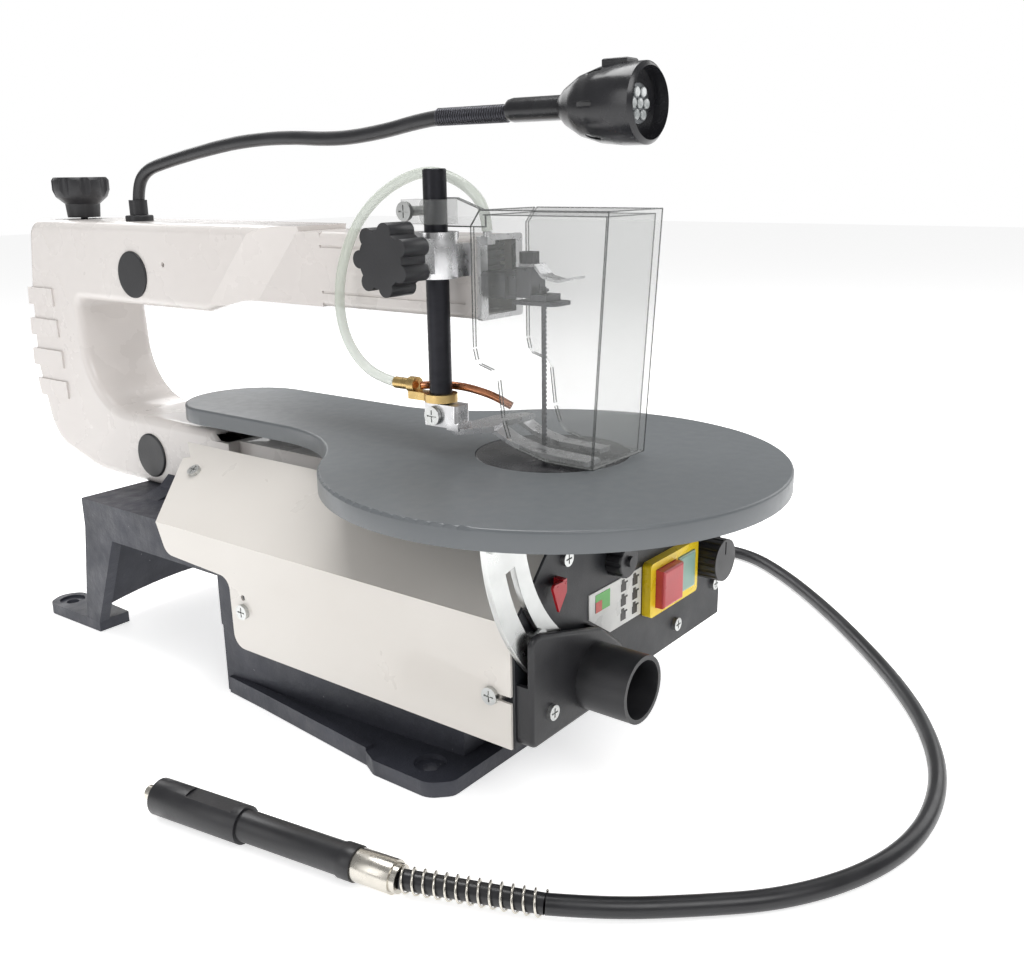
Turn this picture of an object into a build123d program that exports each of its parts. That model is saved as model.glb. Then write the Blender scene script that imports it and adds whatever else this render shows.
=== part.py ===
from build123d import *
import math
import os

# Scroll saw.  Millimetres, Z up, X to the operator's right, Y to the rear.
# Everything is drawn about the blade line (x = 0, y = 0) with z = 0 on the bench, and each
# part is moved on export so that the origin is midway between the two front bolt holes.

# ---- driving dimensions -------------------------------------------------------------------
TABLE_TOP = 167.0          # height of the table surface
TABLE_T = 10.6             # depth of the table rim
TABLE_R = 127.5            # radius of the round front of the table
TABLE_CX, TABLE_CY = -7.0, -11.0
TAIL_LEFT, TAIL_RIGHT = -38.0, 49.0    # sides of the table's tail
TAIL_END = 301.0           # rear end of the tail
WAIST_R = 100.0            # concave waist between the round and the tail
INSERT_R = 43.0            # plastic insert round the blade
INSERT_X, INSERT_Y = 1.7, -4.3

PIVOT_Y = 328.0            # both arms swing about pins this far behind the blade
UPPER_PIVOT_Z, LOWER_PIVOT_Z = 252.0, 123.4
UPPER_ARM_Z, LOWER_ARM_Z = 258.0, 129.4   # centre height of each arm at mid stroke
ARM_W, ARM_H = 16.0, 15.0
ARM_FRONT, ARM_REAR = 20.0, 440.0
LINK_Y = 427.0             # rear tension rod
PIN_R, PIN_FIT = 4.0, 0.05

BODY_X = 29.5              # half width of the thick rear of the C frame
NOSE_X = 20.0              # half width of the slim front arm
WALL = 3.0
FRAME_TOP, FRAME_BOTTOM = 287.0, 101.0
THROAT_TOP, THROAT_BOTTOM, THROAT_REAR = 231.0, 151.0, 403.0
NOSE_Y = 31.0              # front end of the slim arm
NOSE_LOW, NOSE_HIGH = 240.0, 284.0

HOLE_Y = 15.0              # front bolt holes, behind the blade line
HOLE_X, REAR_HOLE_X, REAR_HOLE_Y = 87.0, 67.0, 396.0
HOLE_R, SINK_R = 4.5, 9.0  # clearance hole and the sunk seat of its washer
GLAND_X, GLAND_Z = 60.0, 56.0
BASE_X = 85.0              # half width of the casting's walls
DECK_X, DECK_REAR = 80.0, 343.0
DECK_Z, DECK_T = 101.0, 8.0
BASE_STEP = 190.0          # rear end of the casting's front box
CAST_WALL = 8.0
FLANGE_T = 9.0
ARCH_Z = 75.0              # underside of the deck's skirts
FOOT_X, FOOT_BACK_X = 71.0, 84.0       # half width of the box's foot, at its front and its rear

COVER_X = -97.0            # left sheet cover
COVER_Z, BEND_Z = 43.5, 109.5
COVER_TOP_X, COVER_TOP_Z = -40.0, 144.0
PANEL_Y, PANEL_RIGHT = -50.0, 118.0
SHEET = 1.5

SHAFT_Y, SHAFT_Z = 110.0, 82.0         # motor shaft, along X
THROW = 4.65               # crank throw, gives a 14 mm stroke at the blade
MOTOR_R, MOTOR_X0, MOTOR_X1 = 30.0, -86.0, -20.0

ARC_IN, ARC_OUT, ARC_SLOT = 95.0, 123.0, 108.0   # tilt sector, about the table-top blade line
ARC_Y0, ARC_Y1 = -55.6, -52.2
LOCK_X, LOCK_Z = -8.0, 117.5
LOCK_ANGLE = 39.0

ROD_X, ROD_Y, ROD_R = -32.6, 46.5, 6.3
ROD_LOW, ROD_HIGH = 184.0, 319.0
CLAMP_Z = 275.0
STAR_X = -66.0

GUARD_X0, GUARD_X1, GUARD_T = -26.3, 24.5, 2.5
GUARD_TOP, GUARD_LOW = 298.0, 169.7
STRAP_X0 = -25.9
HINGE_Y, HINGE_Z = 58.0, 297.6         # screw that the guard turns on

LAMP_X, LAMP_Y = -8.0, 345.0
NECK_R = 4.25

FRAME_SCREWS = [(268, 262.0), (446, 205.0), (284, 116.0)]
PIVOTS = (UPPER_PIVOT_Z, LOWER_PIVOT_Z)
CAP_FLOOR = 27.6           # depth at which the caps of the pivot pins sit
COVER_SCREWS = [(149.0, 68.6), (-38.0, 70.0)]
RIGHT_SCREWS = [(140.0, 60.0), (-38.0, 60.0)]
SLOPE_SCREW_Y = 236.0      # screw near the rear of the side cover's sloping face
PORT_Y = -61.0             # front face of the dust cover
SPOUT_X, SPOUT_Z, SPOUT_R, BORE_R = -41.0, 64.5, 18.0, 15.5
SPOUT_END = -90.0
PANEL_SCREWS = [
    (-80.0, PORT_Y, 60.0), (-54.0, PANEL_Y - SHEET, 131.0), (110.0, PANEL_Y - SHEET, 66.0),
    (62.0, PANEL_Y - SHEET, 55.0),
]
BUTTONS = ((28.0, 50.5), (53.0, 72.5))     # left and right sides of the stop and start buttons
DIAL_X, DIAL_Z, DIAL_R = 92.0, 90.0, 13.0  # speed knob
FOOT_Z = 189.0             # screw of the hold-down foot
NOZZLE_X, NOZZLE_Z = -34.3, 203.6

HOSE_R = 3.0
HOSE_POINTS = [
    (-15.8, 25.4, 287), (-16.2, 26, 297), (-17, 32, 306), (-18, 44, 313.5), (-19, 60, 318), (-20, 78, 315),
    (-24, 96, 305), (-28, 110, 290), (-31, 119.5, 269), (-33, 122.5, 248), (-34, 119, 229),
    (-34.5, 108, 214), (-34.5, 93, 205.5), (-34.3, 79, 203.6),
]
NOZZLE_POINTS = [
    (NOZZLE_X, 60, NOZZLE_Z), (-24, 51.5, NOZZLE_Z), (-19, 38, 202.4), (-14, 25, 198.5), (-10, 15, 193),
]
NECK_POINTS = [
    (LAMP_X, 345, 293), (LAMP_X, 344, 308), (LAMP_X, 333, 321), (LAMP_X, 306, 326.5),
    (LAMP_X, 268, 332.5), (LAMP_X, 228, 337.5), (LAMP_X, 186, 338.8), (LAMP_X, 144, 336.2),
    (LAMP_X, 108, 339.0), (LAMP_X, 72, 345.0), (LAMP_X, 42, 346.3), (LAMP_X, 15.3, 345.6),
]

CABLE_R = 4.75             # sheath of the flexible shaft
FLEX_POINTS = [
    (146, SHAFT_Y, SHAFT_Z), (176, SHAFT_Y, 76), (203, 108.5, 58), (228, 106, 38), (252, 102.5, 20),
    (278, 98.3, 7), (309.5, 85.5, CABLE_R), (328.8, 56.4, CABLE_R), (328.6, 21.4, CABLE_R),
    (299, -22, CABLE_R), (259, -67, CABLE_R), (215, -110, CABLE_R), (166, -153, CABLE_R),
    (118, -187, CABLE_R), (66, -211, CABLE_R), (12, -219, CABLE_R), (-34, -210, CABLE_R),
    (-76, -186, CABLE_R), (-108, -153, CABLE_R + 1), (-133, -126, CABLE_R + 3),
    (-147, -105, CABLE_R + 4.5),
]
HAND_END = (-172.0, -43.0, 9.8)       # cable end of the handpiece's ferrule
HAND_TIP = (-196.5, 113.0, 9.8)       # its tool end

FRONT_HOLE_SHIFT = Location((0, -HOLE_Y, 0))


def block(x0, x1, y0, y1, z0, z1):
    """Box between two corners."""
    return Pos((x0 + x1) / 2, (y0 + y1) / 2, (z0 + z1) / 2) * Box(x1 - x0, y1 - y0, z1 - z0)


def rod_x(x0, x1, y, z, r):
    """Cylinder along X."""
    return Pos((x0 + x1) / 2, y, z) * Rot(0, 90, 0) * Cylinder(r, x1 - x0)


def rod_y(x, y0, y1, z, r):
    """Cylinder along Y."""
    return Pos(x, (y0 + y1) / 2, z) * Rot(90, 0, 0) * Cylinder(r, y1 - y0)


def rod_z(x, y, z0, z1, r):
    """Cylinder along Z."""
    return Pos(x, y, (z0 + z1) / 2) * Cylinder(r, z1 - z0)


def together(shapes):
    """Separate solids kept side by side in one piece list."""
    result = shapes[0]
    for shape in shapes[1:]:
        result += shape
    return result


def plate_x(points, x0, x1, arcs=None):
    """Prism along X of a (y, z) outline; arcs maps a corner number to its radius."""
    face = Plane.YZ.offset(x0) * make_face(rounded(points, arcs))
    return extrude(face, amount=x1 - x0)


def plate_y(points, y0, y1, arcs=None):
    """Prism along Y of an (x, z) outline."""
    plane = Plane(origin=(0, y0, 0), x_dir=(1, 0, 0), z_dir=(0, -1, 0))
    face = plane * make_face(rounded(points, arcs))
    return extrude(face, amount=-(y1 - y0))


def plate_z(points, z0, z1, arcs=None):
    """Prism along Z of an (x, y) outline."""
    face = Plane.XY.offset(z0) * make_face(rounded(points, arcs))
    return extrude(face, amount=z1 - z0)


def rounded(points, arcs=None):
    """Closed outline through the points, with round corners where arcs gives a radius."""
    arcs = arcs or {}
    radii = [arcs.get(i, 0) for i in range(len(points))]
    edges = []
    count = len(points)
    ends = []
    for i in range(count):
        before = Vector(*points[i - 1])
        corner = Vector(*points[i])
        after = Vector(*points[(i + 1) % count])
        to_before = (before - corner).normalized()
        to_after = (after - corner).normalized()
        half = math.radians(to_before.get_angle(to_after)) / 2
        cut = radii[i] / math.tan(half) if radii[i] else 0
        start = corner + to_before * cut
        end = corner + to_after * cut
        middle_dir = (to_before + to_after).normalized() if radii[i] else Vector(0, 0)
        middle = corner + middle_dir * (radii[i] / math.sin(half) - radii[i]) if radii[i] else corner
        ends.append((start, middle, end, radii[i]))
    for i in range(count):
        start, middle, end, radius = ends[i]
        if radius:
            edges.append(ThreePointArc(start, middle, end))
        following = ends[(i + 1) % count][0]
        if (following - end).length > 1e-6:
            edges.append(Line(end, following))
    return edges


def round_edges(part, edges, radius):
    """Fillet with a fall back to a smaller radius where the corner is too tight."""
    for size in (radius, radius * 0.6, radius * 0.3):
        try:
            result = fillet(edges, size)
            if result.is_valid:
                return result
        except Exception:
            continue
    return part


# ---- base ---------------------------------------------------------------------------------
def flange_outline():
    rear = [(-86, 186), (-89, 150), (-99, 52), (-104, 42), (-104, 2), (-94, -8)]
    return rear + [(-x, y) for x, y in reversed(rear)]


def box_foot(inset):
    """Outline of the lower part of the front box, which narrows towards the front."""
    side = [(-FOOT_BACK_X + inset, BASE_STEP - inset), (-FOOT_X + inset, 4 + inset)]
    return side + [(-x, y) for x, y in reversed(side)]


def bolt_seats(x, y):
    """Left and right holes for the bolts, each sunk for its washer."""
    holes = [rod_z(side * x, y, -1, 30, HOLE_R) for side in (-1, 1)]
    holes += [rod_z(side * x, y, FLANGE_T - 3, 40, SINK_R) for side in (-1, 1)]
    return holes


def flange():
    plate = plate_z(flange_outline(), 0, FLANGE_T, {3: 6, 4: 12, 5: 8, 6: 8, 7: 12, 8: 6})
    plate -= block(-62, 62, 30, 176, -1, FLANGE_T + 1)
    rim = plate_z(flange_outline(), FLANGE_T, FLANGE_T + 2)
    rim = rim & block(-110, 110, 52, 190, 0, 20)
    rim -= plate_z([(-83, 200), (-83, 150), (-94, 45), (94, 45), (83, 150), (83, 200)], 0, 20)
    return plate + rim


def front_box():
    foot_top = COVER_Z + 2
    ledge = 5.0
    foot = plate_z(box_foot(0), 0, foot_top + ledge)
    walls = block(-BASE_X, BASE_X, PANEL_Y + SHEET + 0.5, BASE_STEP, foot_top, DECK_Z)
    inside = BASE_X - CAST_WALL
    walls -= block(-inside, inside, PANEL_Y - 20, BASE_STEP - CAST_WALL, foot_top + ledge, DECK_Z + 1)
    return foot + walls - plate_z(box_foot(CAST_WALL), -1, foot_top + ledge + 1)


def deck():
    top = block(-DECK_X, DECK_X, 176, DECK_REAR, DECK_Z - DECK_T, DECK_Z)
    top = round_edges(top, top.edges().filter_by(Axis.Y).group_by(Axis.Z)[-1], 3)
    skirts = block(-DECK_X, DECK_X, BASE_STEP - CAST_WALL, DECK_REAR, ARCH_Z, DECK_Z)
    skirts -= block(-DECK_X + CAST_WALL, DECK_X - CAST_WALL, BASE_STEP, DECK_REAR - CAST_WALL, 0,
                    DECK_Z - DECK_T)
    return top + skirts


def rear_legs():
    leg = [(311, ARCH_Z), (336, DECK_Z - 2), (343, DECK_Z - 2), (343, ARCH_Z), (357, 0), (343, 0)]
    legs = plate_x(leg, -DECK_X, -DECK_X + CAST_WALL) + plate_x(leg, DECK_X - CAST_WALL, DECK_X)
    back = plate_x([(335, ARCH_Z + 5), (343, ARCH_Z + 5), (357, 0), (349, 0)], -DECK_X, DECK_X)
    back -= rod_y(0, 300, 400, -330, 352)
    foot = plate_z(
        [(-80, 340), (-81, 404), (-67, 412), (-54, 404), (-56, 340)], 0, 8, {1: 9, 2: 12, 3: 9}
    )
    return legs + back + foot + mirror(foot, Plane.YZ)


def base_casting():
    lean = [(-58, DECK_Z - 1), (-BODY_X - 0.1, DECK_Z - 1), (-BODY_X - 0.1, 112), (-38, 105)]
    gusset = plate_y(lean, 292, 311)
    seat = block(-24, 24, 180, 335, DECK_Z - DECK_T, DECK_Z)
    base = flange() + front_box() + deck() + rear_legs() + seat + gusset + mirror(gusset, Plane.YZ)
    base -= block(-30, 30, 60, BASE_STEP + 1, DECK_Z - 30, DECK_Z + 1)
    # motor, output shaft and mains lead
    base -= rod_x(-BASE_X - 5, -BASE_X + CAST_WALL + 5, SHAFT_Y, SHAFT_Z, MOTOR_R + 0.4)
    base -= block(-BASE_X - 5, -40, SHAFT_Y - MOTOR_R - 0.4, SHAFT_Y + MOTOR_R + 0.4, SHAFT_Z, 140)
    base += rod_x(BASE_X - CAST_WALL - 8, BASE_X + 6, SHAFT_Y, SHAFT_Z, 14) & block(
        60, BASE_X + 6, 60, 150, 60, DECK_Z
    )
    base -= rod_x(BASE_X - 30, BASE_X + 20, SHAFT_Y, SHAFT_Z, 9.0)
    base -= rod_y(GLAND_X, BASE_STEP - 20, BASE_STEP + 10, GLAND_Z, 7.0)
    return base - bolt_seats(HOLE_X, HOLE_Y) - bolt_seats(REAR_HOLE_X, REAR_HOLE_Y)


# ---- C frame ------------------------------------------------------------------------------
def frame_outline():
    points = [
        (140, FRAME_TOP), (456, FRAME_TOP), (466, 235), (471, 178), (458, 118), (400, FRAME_BOTTOM),
        (150, FRAME_BOTTOM), (150, 144), (250, 144), (258, THROAT_BOTTOM),
        (THROAT_REAR - 6, THROAT_BOTTOM),
        (THROAT_REAR, THROAT_TOP), (252, THROAT_TOP), (219, NOSE_LOW), (140, NOSE_LOW),
    ]
    arcs = {1: 14, 3: 40, 4: 34, 5: 60, 10: 46, 11: 6}
    return points, arcs


def frame_block():
    """Outer form of both shells as one solid."""
    points, arcs = frame_outline()
    thick = plate_x(points, -BODY_X, BODY_X, arcs)
    outer = [e for f in (thick.faces().sort_by(Axis.X)[0], thick.faces().sort_by(Axis.X)[-1])
             for e in f.outer_wire().edges()]
    outer = [e for e in outer if e.center().Y > 235]
    thick = round_edges(thick, outer, 6)
    # the thick rear ends in a slanting bevel, and the slim arm runs on from it
    lean = (295 - FRAME_TOP) * 52 / 56
    cutter = Plane.XY.offset(295) * make_face(Polyline(
        (-BODY_X - 0.01, 200 - lean), (-NOSE_X, 166 - lean), (-NOSE_X, 40 - lean),
        (-BODY_X - 12, 40 - lean), (-BODY_X - 12, 200 - lean), close=True))
    cutter = extrude(cutter, amount=90, dir=(0, 52 / 76.4, -56 / 76.4))
    thick -= cutter
    thick -= mirror(cutter, Plane.YZ)
    lower_cut = block(-BODY_X - 1, -NOSE_X, 149, 240, 100, 160)
    thick -= lower_cut
    thick -= mirror(lower_cut, Plane.YZ)
    slim = block(-NOSE_X, NOSE_X, NOSE_Y, 150, NOSE_LOW, NOSE_HIGH)
    slim = round_edges(slim, slim.edges().filter_by(Axis.Y), 4)
    thick -= block(-BODY_X, BODY_X, 100, 149.9, 200, 300)
    step = block(-NOSE_X - 1, NOSE_X + 1, 149.9, 168, NOSE_HIGH, FRAME_TOP + 1)
    thick -= step
    for z in (NOSE_LOW + 8, NOSE_HIGH - 9):
        groove = block(-NOSE_X - 1, -NOSE_X + 0.8, 38, 160, z, z + 1.5)
        slim -= groove
        slim -= mirror(groove, Plane.YZ)
    return thick + slim


def frame_cavity():
    """Space inside the shells for the arms and the tension rod."""
    inside = BODY_X - WALL
    upper = block(-inside, inside, 262, 440, THROAT_TOP + WALL, FRAME_TOP - WALL)
    neck = block(-NOSE_X + WALL, NOSE_X - WALL, NOSE_Y - 1, 263, NOSE_LOW + WALL - 0.5, NOSE_HIGH - 2.5)
    rear = [(THROAT_REAR + 5, 112.5), (432, 112.8), (442, 118), (452, 132), (462, 180), (458, 235),
            (450, 268), (438, FRAME_TOP - WALL - 2), (THROAT_REAR + 5, FRAME_TOP - WALL - 2)]
    column = plate_x(rear, -inside, inside)
    lower = block(-inside, inside, 243, 420, FRAME_BOTTOM + WALL + 4, THROAT_BOTTOM - WALL)
    mouth = block(-NOSE_X + WALL, NOSE_X - WALL, 148, 245, FRAME_BOTTOM + WALL, 141)
    return upper + neck + column + lower + mouth


def pivot_bosses():
    """Posts that carry the pivot pins, one pair at each pivot."""
    posts = [rod_x(x, x + 15.5, PIVOT_Y, z, 15) for z in PIVOTS for x in (-26.6, 11.1)]
    return together(posts)


def louvres():
    """Four raised pads on the rear edge of the side face."""
    pads = None
    for i in range(4):
        pad = block(-BODY_X - 1.4, BODY_X + 1.4, 433 - 1.5 * i, 480, 224 - 23.5 * i, 237 - 23.5 * i)
        pads = pad if pads is None else pads + pad
    points, arcs = frame_outline()
    grown = plate_x([(y, z) for y, z in points], -BODY_X - 1.4, BODY_X + 1.4, arcs)
    return pads & grown


def frame_shells():
    whole = frame_block()
    whole += louvres()
    whole -= frame_cavity()
    whole += pivot_bosses()
    for z in PIVOTS:
        whole -= rod_x(-28.4, 28.4, PIVOT_Y, z, PIN_R)
        whole -= rod_x(-BODY_X - 2, -CAP_FLOOR, PIVOT_Y, z, 13.5)
        whole -= rod_x(CAP_FLOOR, BODY_X + 2, PIVOT_Y, z, 13.5)
    whole -= rod_z(0, LINK_Y, FRAME_TOP - 6, FRAME_TOP + 5, 12.6)
    whole -= rod_z(LAMP_X, LAMP_Y, FRAME_TOP - 8, FRAME_TOP + 2, 7.0)
    whole -= rod_x(-BODY_X - 2, -BODY_X + 8, 293, 260, 1.6)
    for y, z in FRAME_SCREWS:
        whole -= rod_x(-BODY_X + 9, BODY_X + 2, y, z, 1.9)
        whole -= rod_x(BODY_X - 2.5, BODY_X + 3, y, z, 4.2)
    left = whole & block(-50, 0, -10, 480, 90, 300)
    right = whole & block(0, 50, -10, 480, 90, 300)
    return left, right


def screw_x(x, y, z, length, head_r, shank_r, side):
    """Pan head screw along X; side is -1 where the head faces -X."""
    head = rod_x(min(x, x + side * 2.4), max(x, x + side * 2.4), y, z, head_r)
    shank = rod_x(min(x, x - side * length), max(x, x - side * length), y, z, shank_r)
    cross = Pos(x + side * 2.4, y, z) * (Box(2, 0.9, head_r * 1.3) + Box(2, head_r * 1.3, 0.9))
    return head + shank - cross


def screw_y(x, y, z, length, head_r, shank_r):
    """Pan head screw along Y with its head facing -Y."""
    head = rod_y(x, y - 2.2, y, z, head_r)
    shank = rod_y(x, y, y + length, z, shank_r)
    cross = Pos(x, y - 2.2, z) * (Box(0.9, 2, head_r * 1.3) + Box(head_r * 1.3, 2, 0.9))
    return head + shank - cross


def machine_screws():
    """Screws that hold the shells, covers and panel; each one is its own solid."""
    screws = [screw_x(BODY_X - 2.5, y, z, 18, 3.9, 1.85, 1) for y, z in FRAME_SCREWS]
    screws += [screw_x(COVER_X - SHEET, y, z, 9, 4.6, 1.9, -1) for y, z in COVER_SCREWS]
    screws += [screw_x(PANEL_RIGHT + SHEET, y, z, 9, 4.2, 1.9, 1) for y, z in RIGHT_SCREWS]
    screws += [screw_y(x, y, z, 9, 4.0, 1.9) for x, y, z in PANEL_SCREWS]
    screws += [lock_bolt(), slope_screw()]
    return together(screws)


def pivot_caps():
    """Push-in plastic caps over the four ends of the pivot pins."""
    caps = []
    for z in PIVOTS:
        for side in (-1, 1):
            low, high = sorted((side * (CAP_FLOOR + 0.6), side * (BODY_X + 0.2)))
            plug = rod_x(low, high, PIVOT_Y, z, 13.4)
            flange = Pos(side * (BODY_X + 0.8), PIVOT_Y, z) * Rot(0, 90, 0) * Cylinder(16.0, 1.5)
            flange = round_edges(flange, flange.edges().group_by(Axis.X)[0 if side < 0 else -1], 1.0)
            caps.append(plug + flange)
    return together(caps)


def pivot_pins():
    pins = [rod_x(-27.8, 27.8, PIVOT_Y, z, PIN_R - 0.02) for z in (UPPER_PIVOT_Z, LOWER_PIVOT_Z)]
    return together(pins)


def nose_plate():
    """Metal frame on the nose, with the outlet spigot of the air pump beside it."""
    outer = block(-18.6, 18.6, NOSE_Y - 3, NOSE_Y, NOSE_LOW - 0.5, NOSE_HIGH + 0.5)
    outer = round_edges(outer, outer.edges().filter_by(Axis.Y), 2)
    frame = outer - block(-12.5, 12.5, NOSE_Y - 5, NOSE_Y + 5, 242.3, 281.6)
    ear = block(-18.6, -12, NOSE_Y - 8, NOSE_Y - 2.9, 280, 284)
    return frame + ear + rod_z(-15.8, NOSE_Y - 5.6, 283, 286.7, 2.4)


def air_bellows():
    """Rubber bellows between the upper arm and the roof of the nose; it pumps the dust blower."""
    low, high, count = UPPER_ARM_Z + ARM_H / 2, 281.5, 4
    step = (high - low) / count
    stack = None
    for i in range(count):
        z = low + i * step
        wide = block(-9, 9, NOSE_Y + 2, NOSE_Y + 24, z, z + step * 0.55)
        thin = block(-7, 7, NOSE_Y + 4, NOSE_Y + 22, z + step * 0.5, z + step)
        stack = wide + thin if stack is None else stack + wide + thin
    return stack


# ---- arms and blade -----------------------------------------------------------------------
def arm(z, pivot_z, tongue):
    """Box-section arm with a pivot boss and a hole for the tension rod."""
    body = block(-ARM_W / 2, ARM_W / 2, ARM_FRONT, ARM_REAR, z - ARM_H / 2, z + ARM_H / 2)
    body = round_edges(body, body.edges().filter_by(Axis.Y), 2)
    boss = rod_x(-10.5, 10.5, PIVOT_Y, pivot_z, 13)
    body += boss
    body -= rod_x(-12, 12, PIVOT_Y, pivot_z, 9.0)
    body -= block(-3.2, 3.2, LINK_Y - 7.5, LINK_Y + 7.5, z - 10, z + 10)
    body -= rod_x(-12, 12, LINK_Y, z, 2.55)
    body += block(-5.5, 5.5, ARM_FRONT - tongue, ARM_FRONT, z - 5, z + 5)
    return body


def upper_arm():
    return arm(UPPER_ARM_Z, UPPER_PIVOT_Z, 6)


def lower_arm():
    body = arm(LOWER_ARM_Z, LOWER_PIVOT_Z, 6)
    body -= block(-4.5, 4.5, SHAFT_Y - 11, SHAFT_Y + 11, LOWER_ARM_Z - 12, LOWER_ARM_Z + 12)
    body -= rod_x(-12, 12, SHAFT_Y, LOWER_ARM_Z, 3.05)
    return body


def arm_bushes(z):
    """Bush pressed into the arm's pivot boss; it runs on the fixed pin."""
    bush = rod_x(-10.5, 10.5, PIVOT_Y, z, 9.0)
    return bush - rod_x(-12, 12, PIVOT_Y, z, PIN_R - 0.02 + PIN_FIT)


def upper_blade_clamp():
    z = UPPER_ARM_Z
    body = block(-7, 7, 3.5, 14, z - 6, z + 10)
    body = round_edges(body, body.edges().filter_by(Axis.Z), 1.2)
    jaw = block(-7, 7, -6, 3.5, z - 7.5, z - 4)
    plate = block(-9, 9, -13, 14, z - 9.5, z - 7.5)
    plate = round_edges(plate, plate.edges().filter_by(Axis.Z).group_by(Axis.Y)[0], 4)
    clamp = body + jaw + plate
    clamp -= block(-1.2, 1.2, -4, 4, z - 12, z + 1)
    clamp -= rod_z(0, 9.5, z + 2, z + 12, 2.55)
    return clamp


def tension_lever():
    """Polished spring lever that closes over the upper blade hook."""
    z = UPPER_ARM_Z
    sheet = plate_x([(13, z + 10.1), (3, z + 10.1), (-2, z + 4.5), (-12, z + 2.5), (-23, z + 5),
                     (-23, z + 6.3), (-12, z + 4.0), (-2.6, z + 6.0), (2.6, z + 11.8), (13, z + 11.8)],
                    -5, 5, {2: 6, 3: 12, 6: 12, 7: 6})
    return sheet - rod_z(0, 9.5, z, z + 20, 2.7)


def blade_clamp_screw():
    z = UPPER_ARM_Z + 11.9
    head = rod_z(0, 9.5, z, z + 6, 5.4)
    ribs = 14
    for i in range(ribs):
        angle = 2 * math.pi * i / ribs
        head -= rod_z(5.6 * math.cos(angle), 9.5 + 5.6 * math.sin(angle), z - 1, z + 7, 0.55)
    head -= rod_z(0, 9.5, z + 3, z + 7, 2.3)
    return head + rod_z(0, 9.5, z - 8, z, 2.5)


def lower_blade_clamp():
    z = LOWER_ARM_Z
    body = block(-7, 7, -5, 14, z - 7, z + 5)
    body -= block(-1.2, 1.2, -8, 5, z - 3.5, z + 8)
    body -= block(-4.5, 4.5, -2.5, 2.5, z - 3.5, z + 1.5)
    screw = rod_x(7, 13, 8, z - 1, 4)
    return body + screw


def blade():
    """Pinned blade: a toothed strip with a cross pin at each end."""
    low, high = LOWER_ARM_Z - 1.0, UPPER_ARM_Z - 2.2
    strip = block(-0.4, 0.4, -1.5, 1.5, low - 2, high + 2)
    tooth, pitch = 0.9, 2.4
    count = int((high - low - 16) / pitch)
    teeth = []
    for i in range(count):
        z = low + 8 + i * pitch
        teeth.append(Plane.YZ.offset(-0.4) * make_face(Polyline(
            (-1.6, z), (-1.6, z + pitch * 0.7), (-1.6 + tooth, z + pitch * 0.45), close=True)))
    cuts = [extrude(t, amount=0.8) for t in teeth]
    strip -= cuts
    pins = rod_x(-3.5, 3.5, 0, low, 0.9) + rod_x(-3.5, 3.5, 0, high, 0.9)
    return strip + pins


def tension_rod():
    """Rod that ties the rear ends of the arms together, hung on a pin in the upper arm."""
    z = UPPER_ARM_Z
    rod = rod_z(0, LINK_Y, 116.5, 292, 2.6)
    pin = rod_x(-9.5, 9.5, LINK_Y, z, 2.5)
    foot = block(-4, 4, LINK_Y - 4, LINK_Y + 4, 116, 120.9)
    return rod + pin + foot


def tension_knob():
    profile = [(2.65, 288.3), (11.6, 288.3), (12.4, 298), (18.2, 303), (20.2, 308), (20.2, 315),
               (18.5, 317.2), (0, 317.2), (0, 292.4), (2.65, 292.4)]
    face = Plane.XZ * make_face(Polyline(*profile, close=True))
    knob = Pos(0, LINK_Y, 0) * revolve(face, Axis.Z)
    lobes = 8
    for i in range(lobes):
        angle = 2 * math.pi * (i + 0.5) / lobes
        knob -= rod_z(23.4 * math.cos(angle), LINK_Y + 23.4 * math.sin(angle), 300, 320, 5.2)
    return knob


# ---- drive --------------------------------------------------------------------------------
def motor_housing():
    can = rod_x(MOTOR_X0 + 8, MOTOR_X1, SHAFT_Y, SHAFT_Z, MOTOR_R)
    can -= rod_x(MOTOR_X0 + 7, MOTOR_X1 - 4, SHAFT_Y, SHAFT_Z, MOTOR_R - 2.5)
    can -= rod_x(MOTOR_X1 - 6, MOTOR_X1 + 1, SHAFT_Y, SHAFT_Z, PIN_R + PIN_FIT)
    slots = 8
    for i in range(slots):
        angle = 360 * i / slots
        slot = Pos(0, 0, MOTOR_R - 2) * Box(16, 5, 10)
        can -= Pos(-62, SHAFT_Y, SHAFT_Z) * Rot(angle, 0, 0) * slot
    return can


def motor_end_cap():
    cap = rod_x(MOTOR_X0, MOTOR_X0 + 8, SHAFT_Y, SHAFT_Z, MOTOR_R)
    cap = round_edges(cap, cap.edges().group_by(Axis.X)[0], 3)
    cap -= rod_x(MOTOR_X0 + 3, MOTOR_X0 + 9, SHAFT_Y, SHAFT_Z, MOTOR_R - 3)
    cap -= rod_x(MOTOR_X0 - 1, MOTOR_X0 + 9, SHAFT_Y, SHAFT_Z, PIN_R + PIN_FIT)
    vents = 6
    for i in range(vents):
        vent = Pos(0, 0, 18) * Box(12, 6, 12)
        cap -= Pos(MOTOR_X0, SHAFT_Y, SHAFT_Z) * Rot(360 * i / vents + 30, 0, 0) * vent
    return cap


def rotor():
    shaft = rod_x(MOTOR_X0 + 0.5, -14, SHAFT_Y, SHAFT_Z, PIN_R)
    core = rod_x(-70, -38, SHAFT_Y, SHAFT_Z, 24)
    poles = 12
    for i in range(poles):
        slot = Pos(0, 0, 23) * Box(34, 2.2, 8)
        core -= Pos(-54, SHAFT_Y, SHAFT_Z) * Rot(360 * i / poles, 0, 0) * slot
    return shaft + core


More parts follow.
